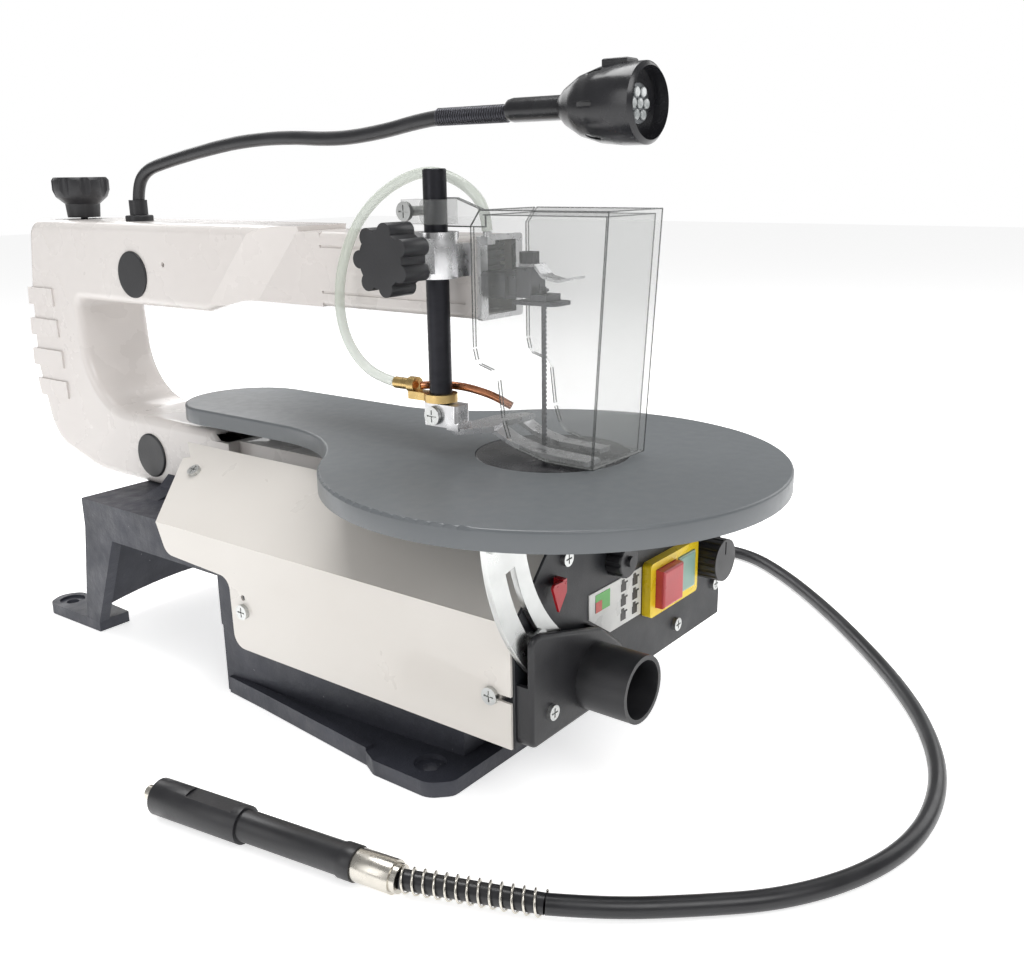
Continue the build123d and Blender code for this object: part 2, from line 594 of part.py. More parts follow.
def cooling_fan():
    hub = rod_x(-82.5, -74, SHAFT_Y, SHAFT_Z, 8)
    fan = hub + rod_x(-76, -74, SHAFT_Y, SHAFT_Z, 25.5)
    blades = 9
    for i in range(blades):
        blade_shape = Pos(0, 0, 16) * Rot(0, 0, 18) * Box(6, 1.6, 18)
        fan += Pos(-78.6, SHAFT_Y, SHAFT_Z) * Rot(360 * i / blades, 0, 0) * blade_shape
    return fan - rod_x(-84, -72, SHAFT_Y, SHAFT_Z, PIN_R)


def crank():
    """Two webs with an offset pin between them, then the output shaft for the flexible drive."""
    webs = rod_x(-14, -6, SHAFT_Y, SHAFT_Z, 12) + rod_x(6, 14, SHAFT_Y, SHAFT_Z, 12)
    pin = rod_x(-6, 6, SHAFT_Y + THROW, SHAFT_Z, 3)
    out = rod_x(13.9, 124, SHAFT_Y, SHAFT_Z, PIN_R)
    return webs + pin + out


def shaft_bearing():
    """Ball bearing in the casting's right wall, drawn as one ring."""
    ring = rod_x(BASE_X - 10, BASE_X + 4, SHAFT_Y, SHAFT_Z, 9.0)
    return ring - rod_x(BASE_X - 20, BASE_X + 20, SHAFT_Y, SHAFT_Z, PIN_R + PIN_FIT)


def connecting_rod():
    """Big end round the crank pin, small end on a wrist pin in the lower arm."""
    ring = rod_x(-3.5, 3.5, SHAFT_Y, SHAFT_Z, 17.5) - rod_x(-5, 5, SHAFT_Y, SHAFT_Z, 13.4)
    stem = block(-3.5, 3.5, SHAFT_Y - 4.5, SHAFT_Y + 4.5, SHAFT_Z + 15, LOWER_ARM_Z)
    eye = rod_x(-3.5, 3.5, SHAFT_Y, LOWER_ARM_Z, 6.5)
    pin = rod_x(-7.8, 7.8, SHAFT_Y, LOWER_ARM_Z, 3.0)
    return ring + stem + eye + pin


# ---- covers and controls ------------------------------------------------------------------
def slope_plane():
    """Sloping face of the side cover: x runs to the rear and z points outwards."""
    run_x, run_z = COVER_TOP_X - COVER_X, COVER_TOP_Z - BEND_Z
    return Plane(origin=(COVER_X - SHEET, 0, BEND_Z), x_dir=(0, 1, 0), z_dir=(-run_z, 0, run_x))


def slope_screw():
    """Pan head screw that holds the sloping face near its rear corner."""
    place = slope_plane() * Pos(SLOPE_SCREW_Y, -44, 0)
    cross = Pos(0, 0, 2.4) * (Box(6.0, 0.9, 2) + Box(0.9, 6.0, 2))
    return place * (Pos(0, 0, 1.2) * Cylinder(4.4, 2.4) + Pos(0, 0, -3) * Cylinder(1.9, 6) - cross)


def side_cover():
    """Bent steel sheet over the left side."""
    low = [(PANEL_Y, COVER_Z), (160, COVER_Z), (161, 87), (221, 90), (229, BEND_Z), (PANEL_Y, BEND_Z)]
    lower = plate_x(low, COVER_X - SHEET, COVER_X, {1: 9, 2: 8, 3: 9})
    slope = math.hypot(COVER_TOP_X - COVER_X, COVER_TOP_Z - BEND_Z)
    corners = [(PANEL_Y, 0), (229, 0), (258, slope - 14), (252, slope - 12), (268, slope), (PANEL_Y, slope)]
    upper_face = slope_plane() * make_face(rounded([(y, -v) for y, v in corners], {}))
    upper = extrude(upper_face, amount=-SHEET) - slope_plane() * Pos(SLOPE_SCREW_Y, -44, 0) * Cylinder(2.0, 9)
    lip = block(COVER_X - SHEET, COVER_X, PANEL_Y, 229, BEND_Z - 1, BEND_Z + 0.2)
    cover = lower + upper + lip
    for y, z in COVER_SCREWS:
        cover -= rod_x(COVER_X - 5, COVER_X + 5, y, z, 2.1)
    cover -= rod_x(COVER_X - 5, COVER_X + 5, COVER_SCREWS[0][0], COVER_SCREWS[0][1] + 8.5, 1.8)
    cover -= block(COVER_X - 5, COVER_X + 5, PANEL_Y - 5, COVER_SCREWS[1][0], 68.2, 71.8)
    tabs = block(COVER_X, COVER_X + 1, PANEL_Y + 3, 150, COVER_Z + 1, COVER_Z + 2)
    for y, z in COVER_SCREWS:
        boss = rod_x(COVER_X, -BASE_X, y, z, 5) - rod_x(COVER_X - 5, 0, y, z, 2.0)
        tabs += boss
    return cover, tabs


def right_cover():
    """Bent steel sheet over the right side, with the opening for the flexible drive."""
    outline = [(PANEL_Y, COVER_Z), (160, COVER_Z), (160, 90), (150, 98), (PANEL_Y, 98)]
    sheet = plate_x(outline, PANEL_RIGHT, PANEL_RIGHT + SHEET, {1: 9, 2: 4, 3: 6})
    sheet += block(BASE_X, PANEL_RIGHT + SHEET, PANEL_Y, 150, 98 - SHEET, 98)
    sheet += block(BASE_X, BASE_X + SHEET, PANEL_Y + 20, 150, 88, 98)
    sheet -= block(BASE_X - 5, BASE_X + 7, SHAFT_Y - 16, SHAFT_Y + 16, 60, 101)
    sheet -= rod_x(PANEL_RIGHT - 5, PANEL_RIGHT + 5, SHAFT_Y, SHAFT_Z, 9.0)
    for y, z in RIGHT_SCREWS:
        sheet -= rod_x(PANEL_RIGHT - 5, PANEL_RIGHT + 5, y, z, 2.1)
        sheet += rod_x(BASE_X, PANEL_RIGHT, y, z, 5) - rod_x(BASE_X - 5, PANEL_RIGHT + 5, y, z, 2.0)
    return sheet


def flex_port():
    """Threaded bush in the right cover that the flexible drive screws on to."""
    bush = rod_x(PANEL_RIGHT - 3, PANEL_RIGHT + 12, SHAFT_Y, SHAFT_Z, 9.0)
    bush += rod_x(PANEL_RIGHT + SHEET, PANEL_RIGHT + SHEET + 2.5, SHAFT_Y, SHAFT_Z, 13)
    return bush - rod_x(PANEL_RIGHT - 5, PANEL_RIGHT + 20, SHAFT_Y, SHAFT_Z, 5.5)


def front_panel():
    """Black sheet across the front."""
    outline = [(COVER_X, COVER_Z), (PANEL_RIGHT, COVER_Z), (PANEL_RIGHT, 97), (100, 108), (30, 116),
               (8, 130), (-40, 142), (-66, 142), (-84, 122), (COVER_X, 109)]
    panel = plate_y(outline, PANEL_Y - SHEET, PANEL_Y, {2: 6, 3: 6, 5: 8, 6: 8, 7: 8, 8: 6, 9: 4})
    feet = block(COVER_X + 6, PANEL_RIGHT - 6, PANEL_Y, PANEL_Y + 1.9, 52, 60)
    panel += feet
    panel -= block(30.9, 72.1, PANEL_Y - 5, PANEL_Y + 5, 79.9, 99.1)
    panel -= rod_y(DIAL_X, PANEL_Y - 5, PANEL_Y + 5, DIAL_Z, 3.55)
    panel -= rod_y(SPOUT_X, PANEL_Y - 5, PANEL_Y + 5, SPOUT_Z, BORE_R - 0.5)
    for x, z in (sector_bolt_place(), (LOCK_X, LOCK_Z)):
        panel -= rod_y(x, PANEL_Y - 5, PANEL_Y + 5, z, 3.05)
    for x, y, z in PANEL_SCREWS:
        panel -= rod_y(x, PANEL_Y - 5, PANEL_Y + 5, z, 2.0)
    return panel


def dust_port():
    """Hollow plastic cover with the 36 mm dust spout."""
    outline = [(-96, 45), (-15, 45), (-13, 72), (-34, 89), (-88, 104), (-96, 104)]
    inner = [(-93.5, 47.5), (-17.5, 47.5), (-15.8, 70.8), (-35.5, 86.5), (-60, 130), (-110, 130),
             (-110, 78), (-93.5, 78)]
    cover = plate_y(outline, PORT_Y, PANEL_Y - SHEET, {0: 5, 1: 5, 2: 4, 3: 4, 4: 3, 5: 5})
    cover = round_edges(cover, cover.faces().sort_by(Axis.Y)[0].outer_wire().edges(), 2.2)
    cover -= plate_y(inner, PORT_Y + 2.5, PANEL_Y + 1)
    cover += rod_y(SPOUT_X, SPOUT_END, PORT_Y + 2.5, SPOUT_Z, SPOUT_R)
    cover -= rod_y(SPOUT_X, SPOUT_END - 1, PANEL_Y + 1, SPOUT_Z, BORE_R)
    cover -= rod_y(PANEL_SCREWS[0][0], -70, PANEL_Y, PANEL_SCREWS[0][2], 2.0)
    return cover


def tilt_pointer():
    """Red pointer for the tilt scale, with its foot on the panel."""
    arrow = [(-74, 123.5), (-61.5, 123), (-61.5, 117), (-68, 108)]
    pointer = plate_y(arrow, -57.5, -56, {0: 2, 1: 2, 2: 1.5})
    post = block(-64.5, -61.5, -57.5, PANEL_Y - SHEET, 119, 124)
    return pointer + post


def sector_bolt_place():
    angle = math.radians(LOCK_ANGLE)
    return -ARC_SLOT * math.cos(angle), TABLE_TOP - ARC_SLOT * math.sin(angle)


def lock_bolt():
    """Bolt that the slot of the tilt sector slides on."""
    x, z = sector_bolt_place()
    return rod_y(x, -58.0, -56.2, z, 5.5) + rod_y(x, -56.3, PANEL_Y + 1.6, z, 3.0)


def table_lock_knob():
    """Small black clamp knob on the front, with a steel screw in its centre."""
    knob = rod_y(LOCK_X, -61, PANEL_Y - SHEET - 0.3, LOCK_Z, 9.5)
    knob = round_edges(knob, knob.edges().group_by(Axis.Y)[0], 1.5)
    lobes = 10
    for i in range(lobes):
        angle = 2 * math.pi * i / lobes
        x, z = LOCK_X + 10.3 * math.cos(angle), LOCK_Z + 10.3 * math.sin(angle)
        knob -= rod_y(x, -62, -51, z, 1.7)
    return knob + rod_y(LOCK_X, -63, PANEL_Y + 6, LOCK_Z, 3.0)


def switch_housing():
    """Yellow frame of the push-button switch; its body reaches back through the panel."""
    body = block(22, 77.6, -57, PANEL_Y - SHEET, 73, 105.5)
    body = round_edges(body, body.edges().filter_by(Axis.Y), 2.5)
    body += block(31, 72, PANEL_Y - SHEET, PANEL_Y + 22, 80, 99)
    for x0, x1 in BUTTONS:
        body -= block(x0 - 0.4, x1 + 0.4, -60, -52.4, 77.6, 100.9)
    return body - block(34, 69, PANEL_Y + 2, PANEL_Y + 19, 83, 96)


def push_button(x0, x1, front):
    button = block(x0, x1, front, -54.8, 78, 100.5)
    return round_edges(button, button.faces().sort_by(Axis.Y)[0].edges(), 1.5)


def speed_knob():
    knob = rod_y(DIAL_X, -68, PANEL_Y - SHEET - 0.3, DIAL_Z, DIAL_R)
    flutes = 18
    for i in range(flutes):
        angle = 2 * math.pi * i / flutes
        x, z = DIAL_X + (DIAL_R + 0.3) * math.cos(angle), DIAL_Z + (DIAL_R + 0.3) * math.sin(angle)
        knob -= rod_y(x, -67, -54, z, 1.1)
    knob -= Pos(DIAL_X, -68, DIAL_Z + 7.5) * Box(1.4, 1.6, 8)
    return knob + rod_y(DIAL_X, PANEL_Y - SHEET - 1, PANEL_Y + 3, DIAL_Z, 3.5)


def cable_gland():
    """Inlet for the mains lead in the rear wall of the casting's front box."""
    gland = rod_y(GLAND_X, BASE_STEP - 14, BASE_STEP + 14, GLAND_Z, 6.9)
    gland += rod_y(GLAND_X, BASE_STEP, BASE_STEP + 4, GLAND_Z, 9.5)
    gland += rod_y(GLAND_X, BASE_STEP - 12, BASE_STEP - 8.1, GLAND_Z, 9.5)
    return gland - rod_y(GLAND_X, BASE_STEP - 16, BASE_STEP + 16, GLAND_Z, 3.6)


# ---- table --------------------------------------------------------------------------------
def table_outline(inset=0.0):
    """Round front and rounded tail joined by concave waists."""
    r = TABLE_R - inset
    left, right = TAIL_LEFT + inset, TAIL_RIGHT - inset
    tail_r = (right - left) / 2
    tail_x = (right + left) / 2
    tail_y = TAIL_END - inset - tail_r
    waist = WAIST_R + inset

    def junction(side_x, sign):
        cx = side_x + sign * waist
        reach = r + waist
        cy = TABLE_CY + math.sqrt(reach**2 - (cx - TABLE_CX) ** 2)
        share = r / reach
        on_round = (TABLE_CX + (cx - TABLE_CX) * share, TABLE_CY + (cy - TABLE_CY) * share)
        middle = math.atan2(on_round[1] - cy, on_round[0] - cx)
        flat = math.pi if sign > 0 else 0.0
        if sign > 0 and middle < 0:
            middle += 2 * math.pi
        half = (middle + flat) / 2
        on_arc = (cx + waist * math.cos(half), cy + waist * math.sin(half))
        return on_round, on_arc, (side_x, cy)

    lr, la, ls = junction(left, -1)
    rr, ra, rs = junction(right, 1)
    return [
        ThreePointArc(rr, (TABLE_CX, TABLE_CY - r), lr),
        ThreePointArc(lr, la, ls),
        Line(ls, (left, tail_y)),
        ThreePointArc((left, tail_y), (tail_x, tail_y + tail_r), (right, tail_y)),
        Line((right, tail_y), rs),
        ThreePointArc(rs, ra, rr),
    ]


def table():
    low = TABLE_TOP - TABLE_T
    plate = extrude(Plane.XY.offset(low) * make_face(table_outline()), amount=TABLE_T)
    plate = round_edges(plate, plate.faces().sort_by(Axis.Z)[-1].outer_wire().edges(), 1.6)
    pocket = extrude(Plane.XY.offset(low - 1) * make_face(table_outline(6)), amount=6.6)
    web = 4.0
    for x in (-60, 60):
        pocket -= block(x - web / 2, x + web / 2, -130, 120, low - 2, low + 6)
    for y in (-60, 60, 150, 220):
        pocket -= block(-130, 130, y - web / 2, y + web / 2, low - 2, low + 6)
    pocket -= rod_z(INSERT_X, INSERT_Y, low - 2, low + 6, INSERT_R + 6)
    pocket -= block(-128, -80, ARC_Y0 - 4, ARC_Y1 + 4, low - 2, low + 6)
    pocket += block(-31, 41, 130, 310, low - 1, low + 5.6)
    top = plate - pocket
    top -= rod_z(INSERT_X, INSERT_Y, TABLE_TOP - 3.2, TABLE_TOP + 1, INSERT_R + 0.2)
    top -= rod_z(INSERT_X, INSERT_Y, low - 1, TABLE_TOP, INSERT_R - 5)
    return top


def table_insert():
    disc = rod_z(INSERT_X, INSERT_Y, TABLE_TOP - 3.2, TABLE_TOP - 0.2, INSERT_R)
    disc = round_edges(disc, disc.edges().group_by(Axis.Z)[-1], 0.5)
    slot = block(-4.5, 4.5, -15, 18, TABLE_TOP - 5, TABLE_TOP + 1)
    slot = round_edges(slot, slot.edges().filter_by(Axis.Z), 4)
    return disc - slot


def sector(r0, r1, a0, a1, y0, y1):
    """Ring sector about the table-top blade line; angles fall from the left horizontal."""
    def at(r, a):
        return (-r * math.cos(math.radians(a)), TABLE_TOP - r * math.sin(math.radians(a)))

    middle = (a0 + a1) / 2
    edges = [
        ThreePointArc(at(r1, a0), at(r1, middle), at(r1, a1)),
        Line(at(r1, a1), at(r0, a1)),
        ThreePointArc(at(r0, a1), at(r0, middle), at(r0, a0)),
        Line(at(r0, a0), at(r1, a0)),
    ]
    plane = Plane(origin=(0, y0, 0), x_dir=(1, 0, 0), z_dir=(0, -1, 0))
    return extrude(plane * make_face(edges), amount=-(y1 - y0))


def trunnion_arc():
    """Zinc tilt sector under the left of the table, with its clamping slot."""
    plate = sector(ARC_IN, ARC_OUT, 3, 61, ARC_Y0, ARC_Y1)
    plate -= block(-140, 0, ARC_Y0 - 1, ARC_Y1 + 1, TABLE_TOP - TABLE_T - 0.01, TABLE_TOP + 20)
    plate -= sector(ARC_SLOT - 3.6, ARC_SLOT + 3.6, 14, 59, ARC_Y0 - 1, ARC_Y1 + 1)
    return plate + block(-120, -94, ARC_Y0 - 3, ARC_Y1 + 3, TABLE_TOP - TABLE_T - 3, TABLE_TOP - TABLE_T)


# ---- hold-down, blower and guard ----------------------------------------------------------
def rod_clamp():
    """Aluminium clamp on the side of the nose that holds the hold-down rod."""
    body = rod_z(ROD_X, ROD_Y, CLAMP_Z - 12, CLAMP_Z + 12, 12)
    arm_block = block(ROD_X, -NOSE_X, NOSE_Y + 1, ROD_Y + 12, CLAMP_Z - 11, CLAMP_Z + 6)
    ear = block(-52, ROD_X, ROD_Y - 7, ROD_Y + 7, CLAMP_Z - 9, CLAMP_Z + 9)
    clamp = body + arm_block + ear
    clamp = round_edges(clamp, clamp.edges().filter_by(Axis.Z).group_by(Axis.X)[0], 2)
    clamp -= rod_z(ROD_X, ROD_Y, CLAMP_Z - 20, CLAMP_Z + 20, ROD_R + PIN_FIT)
    clamp -= rod_x(-60, ROD_X - ROD_R + 1, ROD_Y, CLAMP_Z, 3.05)
    return clamp


def star_knob():
    """Seven-lobed knob whose stud presses on the rod."""
    core = rod_x(STAR_X - 10, STAR_X + 8, ROD_Y, CLAMP_Z, 14.5)
    lobes = 7
    knob = core
    for i in range(lobes):
        angle = 2 * math.pi * i / lobes
        knob += rod_x(STAR_X - 10, STAR_X + 8, ROD_Y + 14.2 * math.cos(angle),
                      CLAMP_Z + 14.2 * math.sin(angle), 4.6)
    knob = round_edges(knob, knob.faces().sort_by(Axis.X)[0].outer_wire().edges(), 2.0)
    knob += rod_x(STAR_X + 8, -52.5, ROD_Y, CLAMP_Z, 7)
    return knob + rod_x(-53, ROD_X - ROD_R - 0.1, ROD_Y, CLAMP_Z, 3.0)


def hold_down_rod():
    rod = rod_z(ROD_X, ROD_Y, ROD_LOW, ROD_HIGH, ROD_R)
    rod = round_edges(rod, rod.edges().group_by(Axis.Z)[-1], 1)
    rod -= rod_x(ROD_X - 10, ROD_X + 10, ROD_Y, FOOT_Z, 2.55)
    rod -= block(ROD_X - 10, ROD_X - 3, ROD_Y - 10, ROD_Y + 10, ROD_LOW - 1, ROD_LOW + 12)
    rod -= block(ROD_X + 3, ROD_X + 10, ROD_Y - 10, ROD_Y + 10, ROD_LOW - 1, ROD_LOW + 12)
    return rod


def hold_down_foot():
    """Forked foot: a clevis on the rod, a neck, and two prongs either side of the blade."""
    cheeks = block(ROD_X - 6, ROD_X - 3.1, ROD_Y - 9, ROD_Y + 7, 183, 195.5)
    cheeks += block(ROD_X + 3.1, ROD_X + 6, ROD_Y - 9, ROD_Y + 7, 183, 195.5)
    yoke = block(ROD_X - 6, ROD_X + 6, ROD_Y - 16, ROD_Y - 7, 183, 195.5)
    yoke = round_edges(yoke, yoke.edges().filter_by(Axis.Z).group_by(Axis.Y)[0], 3)
    neck = plate_z([(ROD_X - 6, 34), (ROD_X + 6, 38), (2, 36), (18, 26), (18, 20), (6, 20), (-6, 22),
                    (-22, 18), (-36, 28)], 180, 183.2, {2: 6, 3: 4})
    left = plate_x([(24, 183.2), (10, 176.5), (-8, 172.4), (-42, 171.6), (-42, 169.0), (-9, 169.6),
                    (9, 173.5), (24, 180)], -20, -8, {1: 14, 2: 14, 5: 14, 6: 14})
    right = plate_x([(26, 183.2), (14, 176.5), (-4, 172.4), (-32, 171.6), (-32, 169.0), (-5, 169.6),
                     (13, 173.5), (26, 180)], 7, 17, {1: 14, 2: 14, 5: 14, 6: 14})
    foot = cheeks + yoke + neck + left + right
    foot += block(ROD_X - 6, ROD_X + 6, 30, 38, 182, 186)
    foot -= rod_x(ROD_X - 10, ROD_X + 10, ROD_Y, FOOT_Z, 2.55)
    return foot


def rod_screws():
    """Screw of the foot and screw of the guard."""
    foot_screw = screw_x(ROD_X - 6.2, ROD_Y, FOOT_Z, 14, 5.2, 2.5, -1)
    return together([foot_screw, guard_screw()])


def guard_bracket():
    """Saddle on top of the rod with the ear that the guard hinges on."""
    saddle = block(ROD_X - 10, ROD_X + 6.2, ROD_Y - 10, HINGE_Y + 6.5, 291, 303.5)
    saddle = round_edges(saddle, saddle.edges().filter_by(Axis.Z).group_by(Axis.X)[0], 5)
    bracket = saddle - rod_z(ROD_X, ROD_Y, 280, 310, ROD_R)
    return bracket - rod_x(-60, 0, HINGE_Y, HINGE_Z, 2.55)


def guard_screw():
    """Pan head screw that the guard turns on."""
    return screw_x(ROD_X - 10.1, HINGE_Y, HINGE_Z, 20.5, 5.0, 2.5, -1)


def blade_guard():
    """Clear box open below and behind, with a strap back to the rod."""
    def side(x0, x1):
        outline = [(-57, GUARD_TOP), (22, GUARD_TOP), (28, 290), (28, 226), (26, 218), (12, 214), (9, 189),
                   (4, 175), (-20, GUARD_LOW), (-49, GUARD_LOW)]
        return plate_x(outline, x0, x1, {3: 4, 4: 3, 5: 6, 6: 8, 7: 8})

    left = side(GUARD_X0, GUARD_X0 + GUARD_T)
    right = side(GUARD_X1 - GUARD_T, GUARD_X1)
    front = plate_x([(-57, GUARD_TOP), (-57 + GUARD_T, GUARD_TOP), (-49 + GUARD_T, GUARD_LOW),
                     (-49, GUARD_LOW)], GUARD_X0, GUARD_X1)
    roof = block(GUARD_X0, GUARD_X1, -55, 22, GUARD_TOP - GUARD_T, GUARD_TOP)
    outline = [(20, GUARD_TOP), (20, 289.5), (HINGE_Y + 6, 289.5), (HINGE_Y + 6, 304), (38, 304)]
    strap = plate_x(outline, STRAP_X0, STRAP_X0 + GUARD_T, {2: 5, 3: 5})
    guard = left + right + front + roof + strap
    return guard - rod_x(-60, 0, HINGE_Y, HINGE_Z, 2.55)


def tube_along(points, radii, radius):
    """Round tube along straight runs joined by tangent arcs."""
    line = FilletPolyline(*points, radius=radii)
    start = line @ 0
    section = Plane(origin=start, z_dir=line % 0) * Circle(radius)
    return sweep(section, path=line)


def arc_radii(points, name):
    """0.45 of the shorter run, divided by the tangent of half the turn, at each corner."""
    radii = []
    for before, corner, after in zip(points, points[1:], points[2:]):
        a, b = Vector(*corner) - Vector(*before), Vector(*after) - Vector(*corner)
        turn = math.radians(a.get_angle(b))
        radii.append(0.45 * min(a.length, b.length) / math.tan(turn / 2))
    print(name, "radii", [round(r, 1) for r in radii])
    return radii


def air_hose():
    return tube_along(HOSE_POINTS, arc_radii(HOSE_POINTS, "hose"), HOSE_R)


def air_nozzle():
    """Copper tube that blows the cutting line clear; it passes behind the rod."""
    return tube_along(NOZZLE_POINTS, arc_radii(NOZZLE_POINTS, "nozzle"), 2.2)


def nozzle_clamp():
    """Brass hose fitting and the clip that carries it on the rod."""
    fitting = rod_y(NOZZLE_X, 62, 67, NOZZLE_Z, 4.6) + rod_y(NOZZLE_X, 67, 78.4, NOZZLE_Z, 3.3)
    collar = rod_z(ROD_X, ROD_Y, 196.2, 200.6, 9.2) - rod_z(ROD_X, ROD_Y, 190, 206, ROD_R)
    post = block(NOZZLE_X - 4, NOZZLE_X + 4, 54, 66, 196.2, 200.6)
    return collar + post + fitting


# ---- lamp ---------------------------------------------------------------------------------
def lamp_socket():
    socket = rod_z(LAMP_X, LAMP_Y, FRAME_TOP - 8, FRAME_TOP + 0.1, 6.9)
    cup = rod_z(LAMP_X, LAMP_Y, FRAME_TOP, FRAME_TOP + 4, 9.5)
    cup = round_edges(cup, cup.edges().group_by(Axis.Z)[-1], 1.2)
    return socket + cup - rod_z(LAMP_X, LAMP_Y, FRAME_TOP - 6, FRAME_TOP + 6, 4.0)


def gooseneck():
    neck = tube_along(NECK_POINTS, arc_radii(NECK_POINTS, "gooseneck"), NECK_R)
    base = Pos(LAMP_X, LAMP_Y, 296.5) * Cylinder(6.5, 10)
    pin = rod_z(LAMP_X, LAMP_Y, FRAME_TOP - 5, 293, 3.95)
    return neck + base + pin


def lamp_head():
    """Tapered shade: ferrule, swelling body and rim, open at the face."""
    profile = [(0, 15), (5.4, 15), (6.0, 12), (6.0, -18), (9.5, -22), (14.5, -31), (17.6, -42),
               (18.8, -54), (18.8, -66), (16.6, -68), (16.6, -60), (0, -60)]
    plane = Plane(origin=(LAMP_X, 0, 347), x_dir=(1, 0, 0), z_dir=(0, 0, 1))
    face = plane * make_face(Polyline(*profile, close=True))
    head = revolve(face, Axis((LAMP_X, 0, 347), (0, 1, 0)))
    slots = 6
    for i in range(slots):
        cut = Pos(0, -38, 19.4) * Rot(12, 0, 0) * Box(2.0, 16, 7)
        head -= Pos(LAMP_X, 0, 347) * Rot(0, 360 * (i + 0.5) / slots, 0) * cut
    head -= block(LAMP_X - 5.4, LAMP_X + 5.4, -57.9, -43.1, 361.8, 372)
    return head


def lamp_switch():
    return round_edges_top(block(LAMP_X - 5, LAMP_X + 5, -57.5, -43.5, 363.4, 367.6), 1.0)


def round_edges_top(part, radius):
    return round_edges(part, part.faces().sort_by(Axis.Z)[-1].edges(), radius)


# ---- flexible shaft -----------------------------------------------------------------------
def flex_nut():
    nut = rod_x(PANEL_RIGHT + 4.2, PANEL_RIGHT + 20, SHAFT_Y, SHAFT_Z, 12)
    grooves = 16
    for i in range(grooves):
        angle = 2 * math.pi * i / grooves
        nut -= rod_x(PANEL_RIGHT + 7, PANEL_RIGHT + 17, SHAFT_Y + 12.2 * math.cos(angle),
                     SHAFT_Z + 12.2 * math.sin(angle), 0.9)
    nut -= rod_x(PANEL_RIGHT, PANEL_RIGHT + 12.5, SHAFT_Y, SHAFT_Z, 9.05)
    nut += rod_x(PANEL_RIGHT + 20, 145, SHAFT_Y, SHAFT_Z, 7)
    return nut


def flex_shaft():
    tube = tube_along(FLEX_POINTS, arc_radii(FLEX_POINTS, "flex"), CABLE_R)
    length = sum((Vector(*b) - Vector(*a)).length for a, b in zip(FLEX_POINTS, FLEX_POINTS[1:]))
    print("flex volume / section", round(tube.volume / (math.pi * CABLE_R**2), 1), "runs", round(length, 1))
    return tube


def hand_plane():
    """Plane at the front end of the handpiece, looking back along it."""
    end = Vector(*HAND_END)
    return Plane(origin=end, z_dir=(Vector(*HAND_TIP) - end).normalized())


def along_hand(a, b, r):
    """Cylinder on the handpiece's axis from a to b millimetres past its cable end."""
    return hand_plane() * Pos(0, 0, (a + b) / 2) * Cylinder(r, b - a)


def flex_spring():
    """Strain relief: a sleeve with the envelope of the coil spring over it."""
    start, end = Vector(*FLEX_POINTS[-1]), Vector(*HAND_END)
    axis = (end - start).normalized()
    length = (end - start).length
    begin, stop = 0.8, length - 1.6
    place_on = Plane(origin=start, z_dir=axis)
    sleeve = place_on * Pos(0, 0, (begin + stop) / 2) * Cylinder(4.9, stop - begin)
    turns = 12
    pitch = stop / turns
    for i in range(turns):
        middle = pitch * (i + 0.5)
        sleeve += place_on * Pos(0, 0, middle) * Cylinder(6.5, 1.6)
    return sleeve


def flex_ferrule():
    body = along_hand(0, 3, 6.8) + along_hand(3, 24, 8.0)
    return body + along_hand(24, 30, 6.4)


def handpiece():
    """Moulded grip: slim neck with a collar, thick end with two flats and a lock hole."""
    body = along_hand(24.05, 32, 8.6) - along_hand(20, 30.05, 6.45)
    body += along_hand(31, 93, 7.9)
    body += along_hand(92, 149, 9.6)
    body -= along_hand(138, 150, 4.05)
    flats = hand_plane() * Pos(0, 16.9, 112) * Box(30, 17, 30)
    flats += hand_plane() * Pos(0, -16.9, 112) * Box(30, 17, 30)
    return body - flats


def handpiece_collet():
    collet = along_hand(138.3, 157, 4.0)
    return collet - along_hand(146, 160, 1.2)


